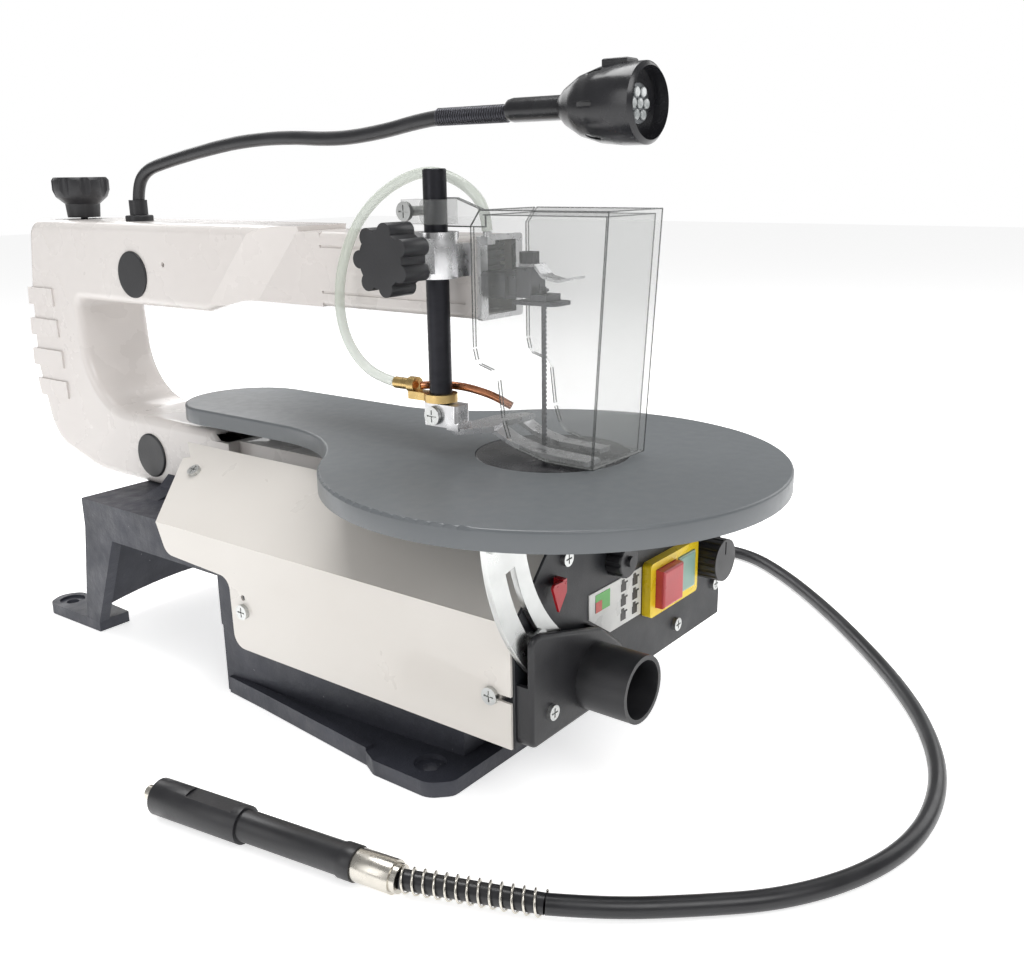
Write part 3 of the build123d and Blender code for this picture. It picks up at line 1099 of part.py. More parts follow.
# ---- write every piece --------------------------------------------------------------------
def all_parts():
    left, right = frame_shells()
    cover, tabs = side_cover()
    return {
        "base_casting": base_casting(),
        "frame_left_shell": left,
        "frame_right_shell": right,
        "machine_screws": machine_screws(),
        "pivot_caps": pivot_caps(),
        "pivot_pins": pivot_pins(),
        "nose_plate": nose_plate(),
        "air_bellows": air_bellows(),
        "rod_clamp": rod_clamp(),
        "side_cover": cover + tabs,
        "right_cover": right_cover(),
        "front_panel": front_panel(),
        "dust_port": dust_port(),
        "tilt_pointer": tilt_pointer(),
        "switch_housing": switch_housing(),
        "motor_housing": motor_housing(),
        "motor_end_cap": motor_end_cap(),
        "shaft_bearing": shaft_bearing(),
        "flex_port": flex_port(),
        "cable_gland": cable_gland(),
        "lamp_socket": lamp_socket(),
        "upper_arm": upper_arm(),
        "upper_arm_bush": arm_bushes(UPPER_PIVOT_Z),
        "upper_blade_clamp": upper_blade_clamp(),
        "tension_lever": tension_lever(),
        "blade_clamp_screw": blade_clamp_screw(),
        "lower_arm": lower_arm(),
        "lower_arm_bush": arm_bushes(LOWER_PIVOT_Z),
        "lower_blade_clamp": lower_blade_clamp(),
        "blade": blade(),
        "tension_rod": tension_rod(),
        "tension_knob": tension_knob(),
        "rotor": rotor() + cooling_fan(),
        "crank": crank(),
        "connecting_rod": connecting_rod(),
        "table": table(),
        "table_insert": table_insert(),
        "trunnion_arc": trunnion_arc(),
        "table_lock_knob": table_lock_knob(),
        "hold_down_rod": hold_down_rod(),
        "hold_down_foot": hold_down_foot(),
        "rod_screws": rod_screws(),
        "guard_bracket": guard_bracket(),
        "blade_guard": blade_guard(),
        "star_knob": star_knob(),
        "air_hose": air_hose(),
        "air_nozzle": air_nozzle(),
        "nozzle_clamp": nozzle_clamp(),
        "stop_button": push_button(*BUTTONS[0], -62.5),
        "start_button": push_button(*BUTTONS[1], -58.5),
        "speed_knob": speed_knob(),
        "gooseneck": gooseneck(),
        "lamp_head": lamp_head(),
        "lamp_switch": lamp_switch(),
        "flex_nut": flex_nut(),
        "flex_shaft": flex_shaft(),
        "flex_spring": flex_spring(),
        "flex_ferrule": flex_ferrule(),
        "handpiece": handpiece(),
        "handpiece_collet": handpiece_collet(),
    }


os.makedirs("parts", exist_ok=True)
for name, solid in all_parts().items():
    export_step(FRONT_HOLE_SHIFT * solid, f"parts/{name}.step")
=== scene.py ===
"""Scroll saw: materials, cords, small details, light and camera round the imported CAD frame."""
import math

import bpy
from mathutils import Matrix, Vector


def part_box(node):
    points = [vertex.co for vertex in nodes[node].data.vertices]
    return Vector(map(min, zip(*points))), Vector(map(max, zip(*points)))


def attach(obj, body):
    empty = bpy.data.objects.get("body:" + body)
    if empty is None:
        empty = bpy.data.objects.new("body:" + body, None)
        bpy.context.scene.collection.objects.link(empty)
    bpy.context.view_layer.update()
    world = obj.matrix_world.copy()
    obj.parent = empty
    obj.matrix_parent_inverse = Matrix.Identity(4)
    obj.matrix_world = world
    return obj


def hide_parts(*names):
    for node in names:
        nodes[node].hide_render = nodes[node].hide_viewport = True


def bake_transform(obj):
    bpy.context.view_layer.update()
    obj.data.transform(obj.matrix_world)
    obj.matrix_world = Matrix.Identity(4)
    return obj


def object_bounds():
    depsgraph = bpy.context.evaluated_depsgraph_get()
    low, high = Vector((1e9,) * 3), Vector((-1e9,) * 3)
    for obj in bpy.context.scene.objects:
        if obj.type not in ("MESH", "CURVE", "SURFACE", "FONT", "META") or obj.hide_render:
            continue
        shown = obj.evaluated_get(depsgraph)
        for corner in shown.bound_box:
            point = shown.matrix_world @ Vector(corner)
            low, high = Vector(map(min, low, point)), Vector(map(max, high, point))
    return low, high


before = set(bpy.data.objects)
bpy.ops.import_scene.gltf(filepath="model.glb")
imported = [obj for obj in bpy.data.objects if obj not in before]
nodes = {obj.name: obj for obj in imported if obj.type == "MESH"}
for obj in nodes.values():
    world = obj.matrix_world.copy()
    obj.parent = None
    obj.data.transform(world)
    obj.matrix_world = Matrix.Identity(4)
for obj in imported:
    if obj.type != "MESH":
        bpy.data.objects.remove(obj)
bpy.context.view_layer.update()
MM = 0.001
ROD_Y = 46.5             # hold-down rod, behind the blade line
BLADE_Y = ROD_Y - (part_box("hold_down_rod")[0][1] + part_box("hold_down_rod")[1][1]) / 2 / MM


WELD_GAP = 0.00001       # metres between the split vertices of one CAD edge

# ---- helpers ------------------------------------------------------------------------------
def mm(*values):
    """A point given in millimetres, as a vector in metres."""
    return Vector(values) * MM


def from_blade(x, y, z):
    """A point in millimetres whose y is measured from the blade line, as metres in the frame."""
    return mm(x, y - BLADE_Y, z)


def link(obj, body, material=None):
    """Puts a new piece in the scene on a CAD body."""
    if obj.name not in bpy.context.scene.collection.objects:
        bpy.context.scene.collection.objects.link(obj)
    if material:
        obj.data.materials.clear()
        obj.data.materials.append(material)
    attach(obj, body)
    return obj


def mesh_object(name, vertices, faces, smooth=False):
    """New mesh object from its vertices and faces, in metres."""
    mesh = bpy.data.meshes.new(name)
    mesh.from_pydata([tuple(v) for v in vertices], [], faces)
    mesh.update()
    for polygon in mesh.polygons:
        polygon.use_smooth = smooth
    return bpy.data.objects.new(name, mesh)


def prism_y(name, outline, y_front, y_back):
    """Flat plate facing the front: an (x, z) outline between two y planes."""
    count = len(outline)
    vertices = [Vector((x, y_front, z)) for x, z in outline]
    vertices += [Vector((x, y_back, z)) for x, z in outline]
    faces = [list(range(count)), list(range(2 * count - 1, count - 1, -1))]
    for i in range(count):
        j = (i + 1) % count
        faces.append([i, i + count, j + count, j])
    return mesh_object(name, vertices, faces)


def bevel(obj, width, segments=2, angle=35):
    """Softens the sharp edges of a part. A CAD mesh is split at its edges, so it is welded first."""
    if obj.name in {o.name for o in nodes.values()}:
        weld = obj.modifiers.new("weld", "WELD")
        weld.merge_threshold = WELD_GAP
    mod = obj.modifiers.new("bevel", "BEVEL")
    mod.width = width
    mod.segments = segments
    mod.limit_method = "ANGLE"
    mod.angle_limit = math.radians(angle)
    mod.harden_normals = False


def tube(name, points, radius, order=3, resolution=12):
    """NURBS tube through listed route points."""
    data = bpy.data.curves.new(name, "CURVE")
    data.dimensions = "3D"
    spline = data.splines.new("NURBS")
    spline.points.add(len(points) - 1)
    for point, place in zip(spline.points, points):
        point.co = (*place, 1.0)
    spline.order_u = order
    spline.use_endpoint_u = True
    spline.resolution_u = resolution
    data.bevel_depth = radius
    data.bevel_resolution = 6
    data.use_fill_caps = True
    return bpy.data.objects.new(name, data)


def helix_mesh(name, start, end, coil_r, wire_r, turns, steps=28, sides=8):
    """Wire coil round the line from start to end, as a mesh tube."""
    axis = (end - start).normalized()
    side = axis.orthogonal().normalized()
    other = axis.cross(side)
    length = (end - start).length
    total = int(turns * steps)
    path = []
    for i in range(total + 1):
        share = i / total
        turn = 2 * math.pi * turns * share
        radial = side * math.cos(turn) + other * math.sin(turn)
        path.append((start + axis * (length * share) + radial * coil_r, radial, axis))
    vertices, faces = [], []
    for place, radial, along in path:
        for k in range(sides):
            a = 2 * math.pi * k / sides
            across = radial * (wire_r * math.cos(a))
            vertices.append(place + across + along * (wire_r * math.sin(a)))
    for i in range(total):
        for k in range(sides):
            j = (k + 1) % sides
            here, there = i * sides, (i + 1) * sides
            faces.append([here + k, here + j, there + j, there + k])
    faces.append(list(range(sides - 1, -1, -1)))
    faces.append([total * sides + k for k in range(sides)])
    return mesh_object(name, vertices, faces, smooth=True)


# ---- materials ----------------------------------------------------------------------------
MIX_FIRST, MIX_SECOND, MIX_COLOUR = 6, 7, 2      # the colour sockets of a Mix node


def shader(name, colour, rough=0.5, metal=0.0, coat=0.0, spec=0.5):
    """Plain Principled material."""
    mat = bpy.data.materials.new(name)
    mat.use_nodes = True
    tree = mat.node_tree
    bsdf = tree.nodes["Principled BSDF"]
    bsdf.inputs["Base Color"].default_value = (*colour, 1)
    bsdf.inputs["Roughness"].default_value = rough
    bsdf.inputs["Metallic"].default_value = metal
    bsdf.inputs["Coat Weight"].default_value = coat
    bsdf.inputs["Specular IOR Level"].default_value = spec
    return mat


def noise(tree, scale, detail=4.0, stretch=(1, 1, 1)):
    """Noise in the part's own coordinates, stretched along an axis if asked."""
    coords = tree.nodes.new("ShaderNodeTexCoord")
    mapping = tree.nodes.new("ShaderNodeMapping")
    mapping.inputs["Scale"].default_value = stretch
    texture = tree.nodes.new("ShaderNodeTexNoise")
    texture.inputs["Scale"].default_value = scale
    texture.inputs["Detail"].default_value = detail
    tree.links.new(coords.outputs["Object"], mapping.inputs["Vector"])
    tree.links.new(mapping.outputs["Vector"], texture.inputs["Vector"])
    return texture.outputs["Fac"]


def spread(tree, value, low, high, start=0.0, end=1.0):
    """Maps a 0..1 value to low..high."""
    ramp = tree.nodes.new("ShaderNodeMapRange")
    ramp.inputs["From Min"].default_value = start
    ramp.inputs["From Max"].default_value = end
    ramp.inputs["To Min"].default_value = low
    ramp.inputs["To Max"].default_value = high
    tree.links.new(value, ramp.inputs["Value"])
    return ramp.outputs["Result"]


def add_bump(mat, height, strength, distance):
    """Adds a bump on top of any that the material has."""
    tree = mat.node_tree
    bsdf = tree.nodes["Principled BSDF"]
    bump = tree.nodes.new("ShaderNodeBump")
    bump.inputs["Strength"].default_value = strength
    bump.inputs["Distance"].default_value = distance
    tree.links.new(height, bump.inputs["Height"])
    old = bsdf.inputs["Normal"].links
    if old:
        tree.links.new(old[0].from_socket, bump.inputs["Normal"])
    tree.links.new(bump.outputs["Normal"], bsdf.inputs["Normal"])


def vary_rough(mat, low, high, scale=60, stretch=(1, 1, 1)):
    """Lets the roughness wander between two values."""
    tree = mat.node_tree
    value = spread(tree, noise(tree, scale, 5.0, stretch), low, high, 0.3, 0.7)
    tree.links.new(value, tree.nodes["Principled BSDF"].inputs["Roughness"])


def vary_colour(mat, first, second, scale=30, start=0.35, end=0.65):
    """Lets the colour wander between two shades."""
    tree = mat.node_tree
    mix = tree.nodes.new("ShaderNodeMix")
    mix.data_type = "RGBA"
    mix.inputs[MIX_FIRST].default_value = (*first, 1)
    mix.inputs[MIX_SECOND].default_value = (*second, 1)
    share = spread(tree, noise(tree, scale, 6.0), 0, 1, start, end)
    tree.links.new(share, mix.inputs[0])
    tree.links.new(mix.outputs[MIX_COLOUR], tree.nodes["Principled BSDF"].inputs["Base Color"])


def enamel(name, colour, second, rough=(0.22, 0.34)):
    """Gloss paint on a casting: faint orange peel and tiny shade changes."""
    mat = shader(name, colour, 0.28, coat=0.35)
    vary_colour(mat, colour, second, 5)
    vary_rough(mat, *rough, 30)
    add_bump(mat, noise(mat.node_tree, 900, 2.0), 0.03, 0.0003)
    return mat


def cast_paint(name, colour, chip):
    """Thick dark paint on rough cast iron, chipped along the way."""
    mat = shader(name, colour, 0.5)
    tree = mat.node_tree
    vary_colour(mat, colour, tuple(c * 1.55 for c in colour), 26, 0.3, 0.75)
    vary_rough(mat, 0.38, 0.62, 80)
    add_bump(mat, noise(tree, 150, 8.0), 0.45, 0.0012)
    add_bump(mat, noise(tree, 900, 3.0), 0.25, 0.0005)
    speck = spread(tree, noise(tree, 210, 3.0), 0, 1, 0.735, 0.76)
    mix = tree.nodes.new("ShaderNodeMix")
    mix.data_type = "RGBA"
    bsdf = tree.nodes["Principled BSDF"]
    tree.links.new(bsdf.inputs["Base Color"].links[0].from_socket, mix.inputs[MIX_FIRST])
    mix.inputs[MIX_SECOND].default_value = (*chip, 1)
    tree.links.new(speck, mix.inputs[0])
    tree.links.new(mix.outputs[MIX_COLOUR], bsdf.inputs["Base Color"])
    return mat


def plastic(name, colour, rough=0.42, grain=700, strength=0.12):
    """Moulded plastic or powder coat with a fine grain."""
    mat = shader(name, colour, rough)
    vary_rough(mat, rough - 0.06, rough + 0.08, 70)
    vary_colour(mat, colour, tuple(min(1, c * 1.25 + 0.004) for c in colour), 35)
    add_bump(mat, noise(mat.node_tree, grain, 2.0), strength, 0.0004)
    return mat


def metal(name, colour, rough=0.3, stretch=(1, 1, 1), scale=180, strength=0.08):
    """Bare or plated metal; a stretch along one axis gives machining marks."""
    mat = shader(name, colour, rough, metal=1.0)
    vary_rough(mat, max(0.06, rough - 0.08), rough + 0.12, scale, stretch)
    vary_colour(mat, colour, tuple(c * 0.86 for c in colour), 40)
    add_bump(mat, noise(mat.node_tree, scale, 4.0, stretch), strength, 0.0004)
    return mat


EDGE_BLEND = 0.28        # how far the painted shade of a clear sheet reaches in from its edge-on faces
EDGE_ALPHA = 0.62        # its opacity there


def acrylic(name, tint, alpha, rough=0.04):
    """Clear sheet: mostly see-through, with its gloss, and with painted shade where it turns edge-on."""
    mat = shader(name, tint, rough, spec=0.6)
    tree = mat.node_tree
    weight = tree.nodes.new("ShaderNodeLayerWeight")
    weight.inputs["Blend"].default_value = EDGE_BLEND
    bsdf = tree.nodes["Principled BSDF"]
    # opacity rising towards edge-on faces: painted shade at the sheet's edges
    tree.links.new(spread(tree, weight.outputs["Facing"], alpha, EDGE_ALPHA), bsdf.inputs["Alpha"])
    vary_rough(mat, rough, rough + 0.05, 25)
    return mat


white = enamel("white_enamel", (0.66, 0.620, 0.595), (0.69, 0.655, 0.63))
panel_white = enamel("white_sheet", (0.67, 0.635, 0.59), (0.70, 0.67, 0.63), (0.26, 0.38))
iron = cast_paint("cast_iron_paint", (0.030, 0.032, 0.042), (0.16, 0.16, 0.17))
table_paint = shader("table_grey", (0.118, 0.128, 0.136), 0.36)
vary_colour(table_paint, (0.116, 0.126, 0.134), (0.121, 0.131, 0.139), 60)
vary_rough(table_paint, 0.34, 0.40, 160)
add_bump(table_paint, noise(table_paint.node_tree, 1600, 2.0), 0.06, 0.0003)
black = plastic("black_plastic", (0.012, 0.012, 0.014), 0.40)
black_gloss = plastic("black_gloss", (0.010, 0.010, 0.012), 0.24, 300, 0.05)
black_sheet = plastic("black_powder_coat", (0.011, 0.012, 0.015), 0.46, 1300, 0.2)
rubber = plastic("rubber", (0.010, 0.010, 0.011), 0.55, 900, 0.15)
sheath = plastic("cable_sheath", (0.012, 0.012, 0.014), 0.34, 500, 0.08)
red = plastic("red_plastic", (0.42, 0.012, 0.02), 0.3)
button_red = plastic("button_red", (0.50, 0.055, 0.06), 0.32)
green = plastic("button_green", (0.22, 0.36, 0.30), 0.34)
yellow = plastic("yellow_plastic", (0.78, 0.56, 0.015), 0.3)
zinc = metal("zinc_plate", (0.62, 0.63, 0.62), 0.30, (1, 1, 1), 55, 0.12)
bright = metal("bright_casting", (0.72, 0.72, 0.73), 0.26, (1, 1, 1), 120, 0.10)
steel = metal("machined_steel", (0.48, 0.48, 0.49), 0.32, (1, 1, 6), 160, 0.08)
nickel = metal("nickel", (0.64, 0.61, 0.55), 0.22, (1, 1, 1), 90, 0.05)
oxide = metal("black_oxide", (0.035, 0.035, 0.04), 0.36, (1, 1, 5), 120, 0.06)
dark_steel = metal("dark_steel", (0.10, 0.10, 0.11), 0.34)
copper = metal("copper", (0.70, 0.30, 0.16), 0.26)
brass = metal("brass", (0.66, 0.47, 0.20), 0.28)
bronze = metal("bronze", (0.45, 0.32, 0.17), 0.42)
clear = acrylic("clear_acrylic", (0.42, 0.43, 0.42), 0.10)
# dark tint, fairly opaque: painted shade for the beads on the clear guard's edges
edge_shade_paint = acrylic("acrylic_edge_shade_paint", (0.07, 0.075, 0.075), 0.60)
hose_clear = acrylic("clear_hose", (0.60, 0.65, 0.57), 0.50, 0.10)

finish = {
    white: ["frame_left_shell", "frame_right_shell"],
    panel_white: ["side_cover"],
    iron: ["base_casting"],
    table_paint: ["table"],
    black: ["pivot_caps", "dust_port", "table_lock_knob", "star_knob", "tension_knob", "speed_knob",
            "cable_gland", "lamp_socket", "handpiece", "motor_end_cap"],
    black_gloss: ["lamp_head", "lamp_switch", "table_insert"],
    black_sheet: ["front_panel", "right_cover"],
    rubber: ["air_bellows"],
    zinc: ["machine_screws", "rod_screws", "trunnion_arc"],
    bright: ["rod_clamp", "nose_plate", "hold_down_foot", "tension_lever"],
    steel: ["motor_housing", "rotor", "crank", "shaft_bearing", "flex_port", "pivot_pins"],
    dark_steel: ["upper_arm", "lower_arm", "connecting_rod", "upper_blade_clamp", "lower_blade_clamp",
                 "blade"],
    oxide: ["hold_down_rod", "blade_clamp_screw", "tension_rod"],
    red: ["tilt_pointer"],
    button_red: ["stop_button"],
    green: ["start_button"],
    yellow: ["switch_housing"],
    clear: ["blade_guard", "guard_bracket"],
    copper: ["air_nozzle"],
    brass: ["nozzle_clamp"],
    bronze: ["upper_arm_bush", "lower_arm_bush"],
    nickel: ["flex_ferrule", "flex_nut", "handpiece_collet"],
}
for material, names in finish.items():
    for name in names:
        data = nodes[name].data
        if not data.materials:
            data.materials.append(material)
        for slot_number in range(len(nodes[name].material_slots)):
            nodes[name].material_slots[slot_number].material = material

# ---- camera -------------------------------------------------------------------------------
CAMERA_PLACE = (-475.3, -341.6, 316.2)
CAMERA_TURN = (73.78, 0.71, -52.70)      # degrees about x, y and z
CAMERA_LENS = 38.13
SENSOR_WIDTH = 36.0

camera_data = bpy.data.cameras.new("camera")
camera = bpy.data.objects.new("camera", camera_data)
bpy.context.scene.collection.objects.link(camera)
camera.location = from_blade(*CAMERA_PLACE)
camera.rotation_euler = [math.radians(a) for a in CAMERA_TURN]
camera_data.sensor_width = SENSOR_WIDTH
camera_data.lens = CAMERA_LENS
camera_data.clip_start = 0.01
bpy.context.scene.camera = camera

# ---- flexible shaft: the route repeats the one in the part's source --------------------------
CABLE_R = 4.75
SHAFT_Y, SHAFT_Z = 110.0, 82.0
FLEX_ROUTE = [
    (146, SHAFT_Y, SHAFT_Z), (176, SHAFT_Y, 76), (203, 108.5, 58), (228, 106, 38), (252, 102.5, 20),
    (278, 98.3, 7), (309.5, 85.5, CABLE_R), (328.8, 56.4, CABLE_R), (328.6, 21.4, CABLE_R),
    (299, -22, CABLE_R), (259, -67, CABLE_R), (215, -110, CABLE_R), (166, -153, CABLE_R),
    (118, -187, CABLE_R), (66, -211, CABLE_R), (12, -219, CABLE_R), (-34, -210, CABLE_R),
    (-76, -186, CABLE_R), (-108, -153, CABLE_R + 1), (-133, -126, CABLE_R + 3),
    (-147, -105, CABLE_R + 4.5),
]
HAND_END = (-172.0, -43.0, 9.8)          # cable end of the handpiece's ferrule
SPRING_R, SPRING_WIRE_R, SPRING_TURNS = 5.75, 0.62, 13

flex_points = [from_blade(*place) for place in FLEX_ROUTE]
flex = tube("flexible_shaft", flex_points, CABLE_R * MM)
link(flex, "frame", sheath)
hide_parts("flex_shaft")

hand_start = from_blade(*HAND_END)
spring_start = flex_points[-1]
spring = helix_mesh("coil_spring", spring_start, hand_start, SPRING_R * MM, SPRING_WIRE_R * MM,
                    SPRING_TURNS)
link(spring, "frame", nickel)
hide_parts("flex_spring")
spring_middle = (spring_start + hand_start) / 2
sleeve = tube("spring_sleeve", [spring_start, spring_middle, hand_start], CABLE_R * MM)
link(sleeve, "frame", sheath)

# ---- air hose -----------------------------------------------------------------------------
HOSE_R = 2.9
HOSE_ROUTE = [
    (-15.8, 25.4, 287), (-16.2, 26, 297), (-17, 32, 306), (-18, 44, 313.5), (-19, 60, 318),
    (-20, 78, 315), (-24, 96, 305), (-28, 110, 290), (-31, 119.5, 269), (-33, 122.5, 248), (-34, 119, 229),
    (-34.5, 108, 214), (-34.5, 93, 205.5), (-34.3, 79, 203.6),
]
hose_points = [from_blade(*place) for place in HOSE_ROUTE]
hose_curve = tube("air_hose_line", hose_points, HOSE_R * MM)
hose = bpy.data.objects.new("clear_air_hose", bpy.data.meshes.new_from_object(hose_curve))
bpy.data.objects.remove(hose_curve)
bpy.context.scene.collection.objects.link(hose)
hose.data.materials.clear()
hose.data.materials.append(hose_clear)
for polygon in hose.data.polygons:
    polygon.use_smooth = True
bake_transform(hose)
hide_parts("air_hose")

# ---- lamp neck: sheathed for most of its length, bare ribbed conduit by the head ---------------
NECK_ROUTE = [
    (345, 291), (344, 308), (333, 321), (306, 326.5), (268, 332.5), (228, 337.5), (186, 338.8),
    (144, 336.2), (108, 339.0), (72, 345.0), (42, 346.3), (15.3, 345.6),
]
LAMP_X = -8.0
NECK_R = 4.1
RIB_START, RIB_END = (64, 345.6), (15.6, 345.7)      # y and z of the ribbed stretch's ends
RIB_R, RIB_WIRE_R, RIB_TURNS = 3.95, 0.72, 30
COLLAR_Y, COLLAR_R = 345, 6.3
COLLAR_LEVELS = (291.2, 296, 301.3)

neck_points = [from_blade(LAMP_X, y, z) for y, z in NECK_ROUTE]
neck = tube("lamp_neck", neck_points, NECK_R * MM)
link(neck, "lamp", sheath)
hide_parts("gooseneck")
ribbed = metal("ribbed_conduit", (0.07, 0.07, 0.08), 0.3)
rib_start, rib_end = from_blade(LAMP_X, *RIB_START), from_blade(LAMP_X, *RIB_END)
ribs = helix_mesh("conduit_ribs", rib_start, rib_end, RIB_R * MM, RIB_WIRE_R * MM, RIB_TURNS, 24)
link(ribs, "lamp", ribbed)
collar_points = [from_blade(LAMP_X, COLLAR_Y, z) for z in COLLAR_LEVELS]
collar = tube("neck_collar", collar_points, COLLAR_R * MM)
link(collar, "lamp", black)

# ---- lamp face ----------------------------------------------------------------------------
FACE_Y, FACE_Z, FACE_R, FACE_THICK = -60.2, 347, 16.2, 0.1
PLATE_R, PLATE_THICK, PLATE_RIM = 9.4, 1.2, 0.3
LED_R, LED_THICK, LED_RIM = 2.45, 1.2, 0.5
LED_LIFT = 2.3           # from the lamp's face to the front of an LED
LED_RING = 6             # LEDs round the middle one
LED_REACH = 5.9          # from the middle LED to the ring

led_metal = metal("led_reflector", (0.22, 0.23, 0.24), 0.25)
led_lens = shader("led_lens", (0.40, 0.42, 0.42), 0.08, coat=1.0)
vary_colour(led_lens, (0.46, 0.48, 0.48), (0.26, 0.28, 0.28), 420)


def disc(name, place, radius, thick, body, material, segments=40, rim=0.0):
    """Short cylinder facing the front."""
    ring = [(math.cos(2 * math.pi * i / segments), math.sin(2 * math.pi * i / segments))
            for i in range(segments)]
    outline = [(place.x + radius * c, place.z + radius * s) for c, s in ring]
    obj = prism_y(name, outline, place.y, place.y + thick)
    link(obj, body, material)
    if rim:
        bevel(obj, rim, 3)
    return obj


face = from_blade(LAMP_X, FACE_Y, FACE_Z)
disc("lamp_face", face, FACE_R * MM, FACE_THICK * MM, "lamp", black_gloss)
disc("led_plate", face - mm(0, PLATE_THICK, 0), PLATE_R * MM, PLATE_THICK * MM, "lamp", led_metal,
     rim=PLATE_RIM * MM)
for i in range(LED_RING + 1):
    angle = 2 * math.pi * i / LED_RING
    reach = 0 if i == LED_RING else LED_REACH
    spot = face + mm(reach * math.cos(angle), -LED_LIFT, reach * math.sin(angle))
    disc(f"led_{i}", spot, LED_R * MM, LED_THICK * MM, "lamp", led_lens, 20, LED_RIM * MM)

# ---- label plate on the front panel -----------------------------------------------------------
panel_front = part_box("front_panel")[0][1]
label_paint = plastic("label_white", (0.62, 0.62, 0.60), 0.3)
ink = plastic("label_ink", (0.03, 0.03, 0.03), 0.4)
label_green = plastic("label_green", (0.12, 0.42, 0.10), 0.35)
label_red = plastic("label_red", (0.55, 0.08, 0.06), 0.35)
LABEL = [(-33, 104), (20, 104), (20, 76), (-12, 76), (-33, 90)]
LABEL_THICK = 0.5
MARK_BACK = 0.45         # a mark starts just inside the plate
outline = [(x * MM, z * MM) for x, z in LABEL]
label = prism_y("label_plate", outline, panel_front - LABEL_THICK * MM, panel_front)
link(label, "frame", label_paint)


def mark(name, x, z, w, h, material, lift=0.75):
    """Raised rectangle on the label, w wide and h high about (x, z), in millimetres."""
    left, right, low, high = x - w / 2, x + w / 2, z - h / 2, z + h / 2
    corners = [(left, low), (right, low), (right, high), (left, high)]
    obj = prism_y(name, [(a * MM, b * MM) for a, b in corners], panel_front - lift * MM,
                  panel_front - MARK_BACK * MM)
    link(obj, "frame", material)


mark("label_square_green", -20, 97, 14, 10, label_green)
mark("label_square_red", -24, 95, 6, 6, label_red, 0.85)
for column, x in enumerate((1, 13)):
    for row, z in enumerate((99, 90.5, 82)):
        tag = f"{column}{row}"
        mark("symbol_body_" + tag, x, z - 1, 5, 4.5, ink)
        mark("symbol_top_" + tag, x - 0.5, z + 2.4, 2.6, 2.4, ink)
        mark("symbol_bar_" + tag, x + 2.4, z + 1.4, 3.4, 1.0, ink)

# ---- painted shade: dark beads along the clear edges of the guard ---------------------------
BEAD_R, BEAD_SHORTEST = 0.35, 6
SHARP = math.radians(50)


def edge_beads(node, body, radius, shortest, material):
    """Painted edge shade of a clear part: a fine bead along each long sharp edge of its mesh."""
    mesh = nodes[node].data
    facing = {}
    for polygon in mesh.polygons:
        for key in polygon.edge_keys:
            ends = tuple(sorted(tuple(round(c, 5) for c in mesh.vertices[v].co) for v in key))
            facing.setdefault(ends, []).append(polygon.normal)
    number = 0
    for ends, normals in sorted(facing.items()):
        start, end = Vector(ends[0]), Vector(ends[1])
        if len(normals) != 2 or normals[0].angle(normals[1], 0) < SHARP:
            continue
        if (end - start).length < shortest:
            continue
        bead = tube(f"{node}_edge_{number}", [start, (start + end) / 2, end], radius, resolution=2)
        bead.data.bevel_resolution = 1
        link(bead, body, material)
        number += 1


# dark beads on the guard's edges: painted shade
edge_beads("blade_guard", "guard", BEAD_R * MM, BEAD_SHORTEST * MM, edge_shade_paint)
nodes["blade_guard"].visible_shadow = False

# ---- softened edges of the CAD parts ---------------------------------------------------------------
for name, width in {
    "base_casting": 0.9, "table": 0.5, "rod_clamp": 0.7, "hold_down_foot": 0.6, "nose_plate": 0.5,
    "upper_blade_clamp": 0.4, "lower_blade_clamp": 0.4, "star_knob": 0.8, "speed_knob": 0.7,
    "tension_knob": 0.7, "dust_port": 0.5, "handpiece": 0.8, "switch_housing": 0.5, "front_panel": 0.3,
    "trunnion_arc": 0.3, "table_lock_knob": 0.4, "flex_nut": 0.5, "flex_ferrule": 0.6,
    "lamp_head": 0.4, "cable_gland": 0.5, "tilt_pointer": 0.3,
}.items():
    bevel(nodes[name], width * MM)

# ---- stage ----------------------------------------------------------------------------------
FLOOR_HALF = 6           # metres
FLOOR_GAP = 0.0005       # metres under the feet
FLOOR_GLOW = 0.62
WORLD_LIGHT, WORLD_SEEN = 0.34, 1.0      # strength for lighting, and as the camera sees it

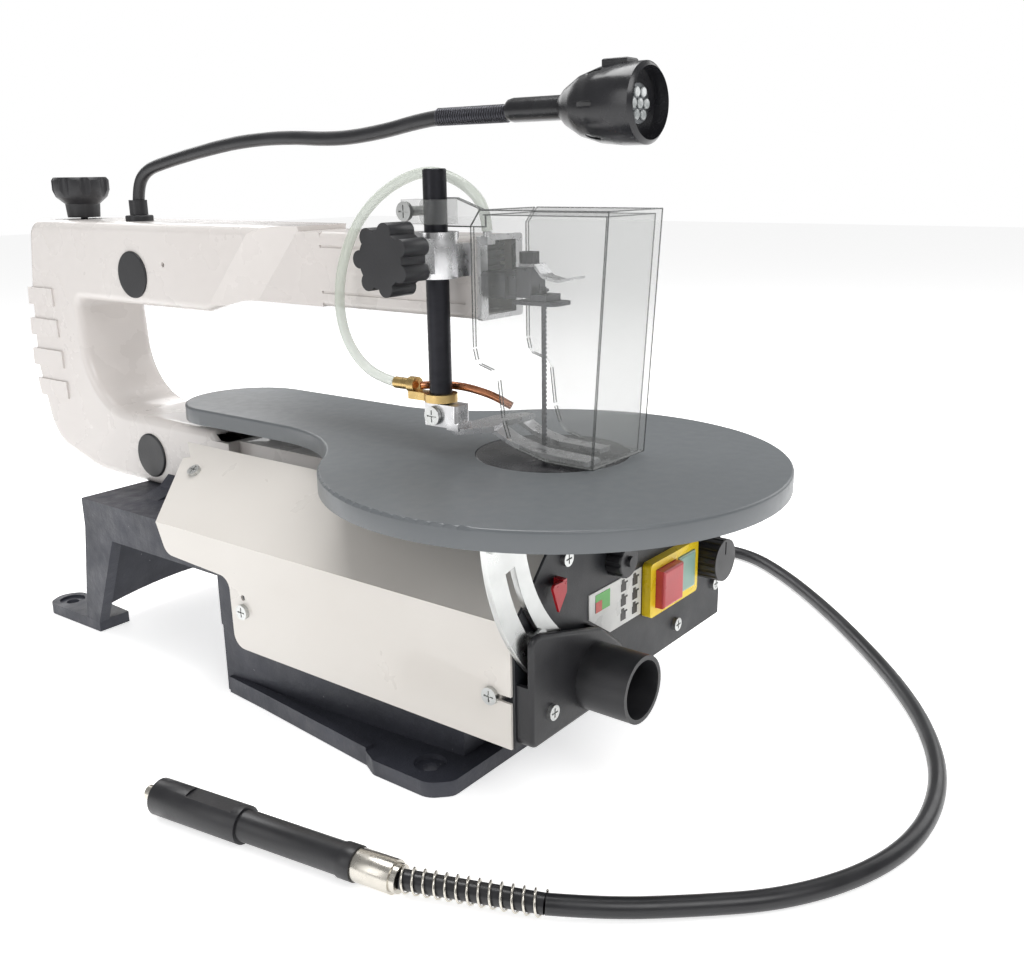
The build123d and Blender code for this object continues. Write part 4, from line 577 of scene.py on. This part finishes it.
corners = [(-FLOOR_HALF, -FLOOR_HALF, 0), (FLOOR_HALF, -FLOOR_HALF, 0), (FLOOR_HALF, FLOOR_HALF, 0),
           (-FLOOR_HALF, FLOOR_HALF, 0)]
floor_mesh = mesh_object("floor", corners, [[0, 1, 2, 3]])
floor_mesh.location.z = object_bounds()[0][2] - FLOOR_GAP
floor_paint = shader("floor_white", (0.90, 0.90, 0.90), 0.8, spec=0.2)
floor_glow = floor_paint.node_tree.nodes["Principled BSDF"]
floor_glow.inputs["Emission Color"].default_value = (1, 1, 1, 1)
floor_glow.inputs["Emission Strength"].default_value = FLOOR_GLOW
vary_rough(floor_paint, 0.7, 0.8, 3)
floor_mesh.data.materials.append(floor_paint)
bpy.context.scene.collection.objects.link(floor_mesh)

world = bpy.data.worlds.new("studio")
bpy.context.scene.world = world
world.use_nodes = True
background = world.node_tree.nodes["Background"]
background.inputs["Color"].default_value = (1.0, 1.0, 1.0, 1)
light_path = world.node_tree.nodes.new("ShaderNodeLightPath")
strength = world.node_tree.nodes.new("ShaderNodeMapRange")
strength.inputs["To Min"].default_value = WORLD_LIGHT
strength.inputs["To Max"].default_value = WORLD_SEEN
world.node_tree.links.new(light_path.outputs["Is Camera Ray"], strength.inputs["Value"])
world.node_tree.links.new(strength.outputs["Result"], background.inputs["Strength"])


def area_light(name, place, aim, size, power):
    """Rectangular lamp at place, turned towards aim, in metres and watts."""
    data = bpy.data.lights.new(name, "AREA")
    data.shape = "RECTANGLE"
    data.size, data.size_y = size
    data.energy = power
    obj = bpy.data.objects.new(name, data)
    obj.location = place
    obj.rotation_euler = (Vector(aim) - Vector(place)).to_track_quat("-Z", "Y").to_euler()
    bpy.context.scene.collection.objects.link(obj)


area_light("key", (-0.5, -1.1, 1.2), (0, 0.1, 0.15), (0.8, 0.8), 9)
area_light("left", (-1.4, 0.4, 0.7), (0, 0.15, 0.15), (0.6, 1.0), 4)
area_light("top", (0.2, 0.4, 1.6), (0, 0.1, 0.1), (1.0, 0.8), 18)
area_light("right", (1.3, -0.4, 0.8), (0, 0.0, 0.15), (1.0, 0.8), 5)
area_light("rear", (0.6, 1.6, 0.9), (0, 0.2, 0.2), (1.0, 0.8), 6)
bpy.context.scene.view_settings.view_transform = "Standard"
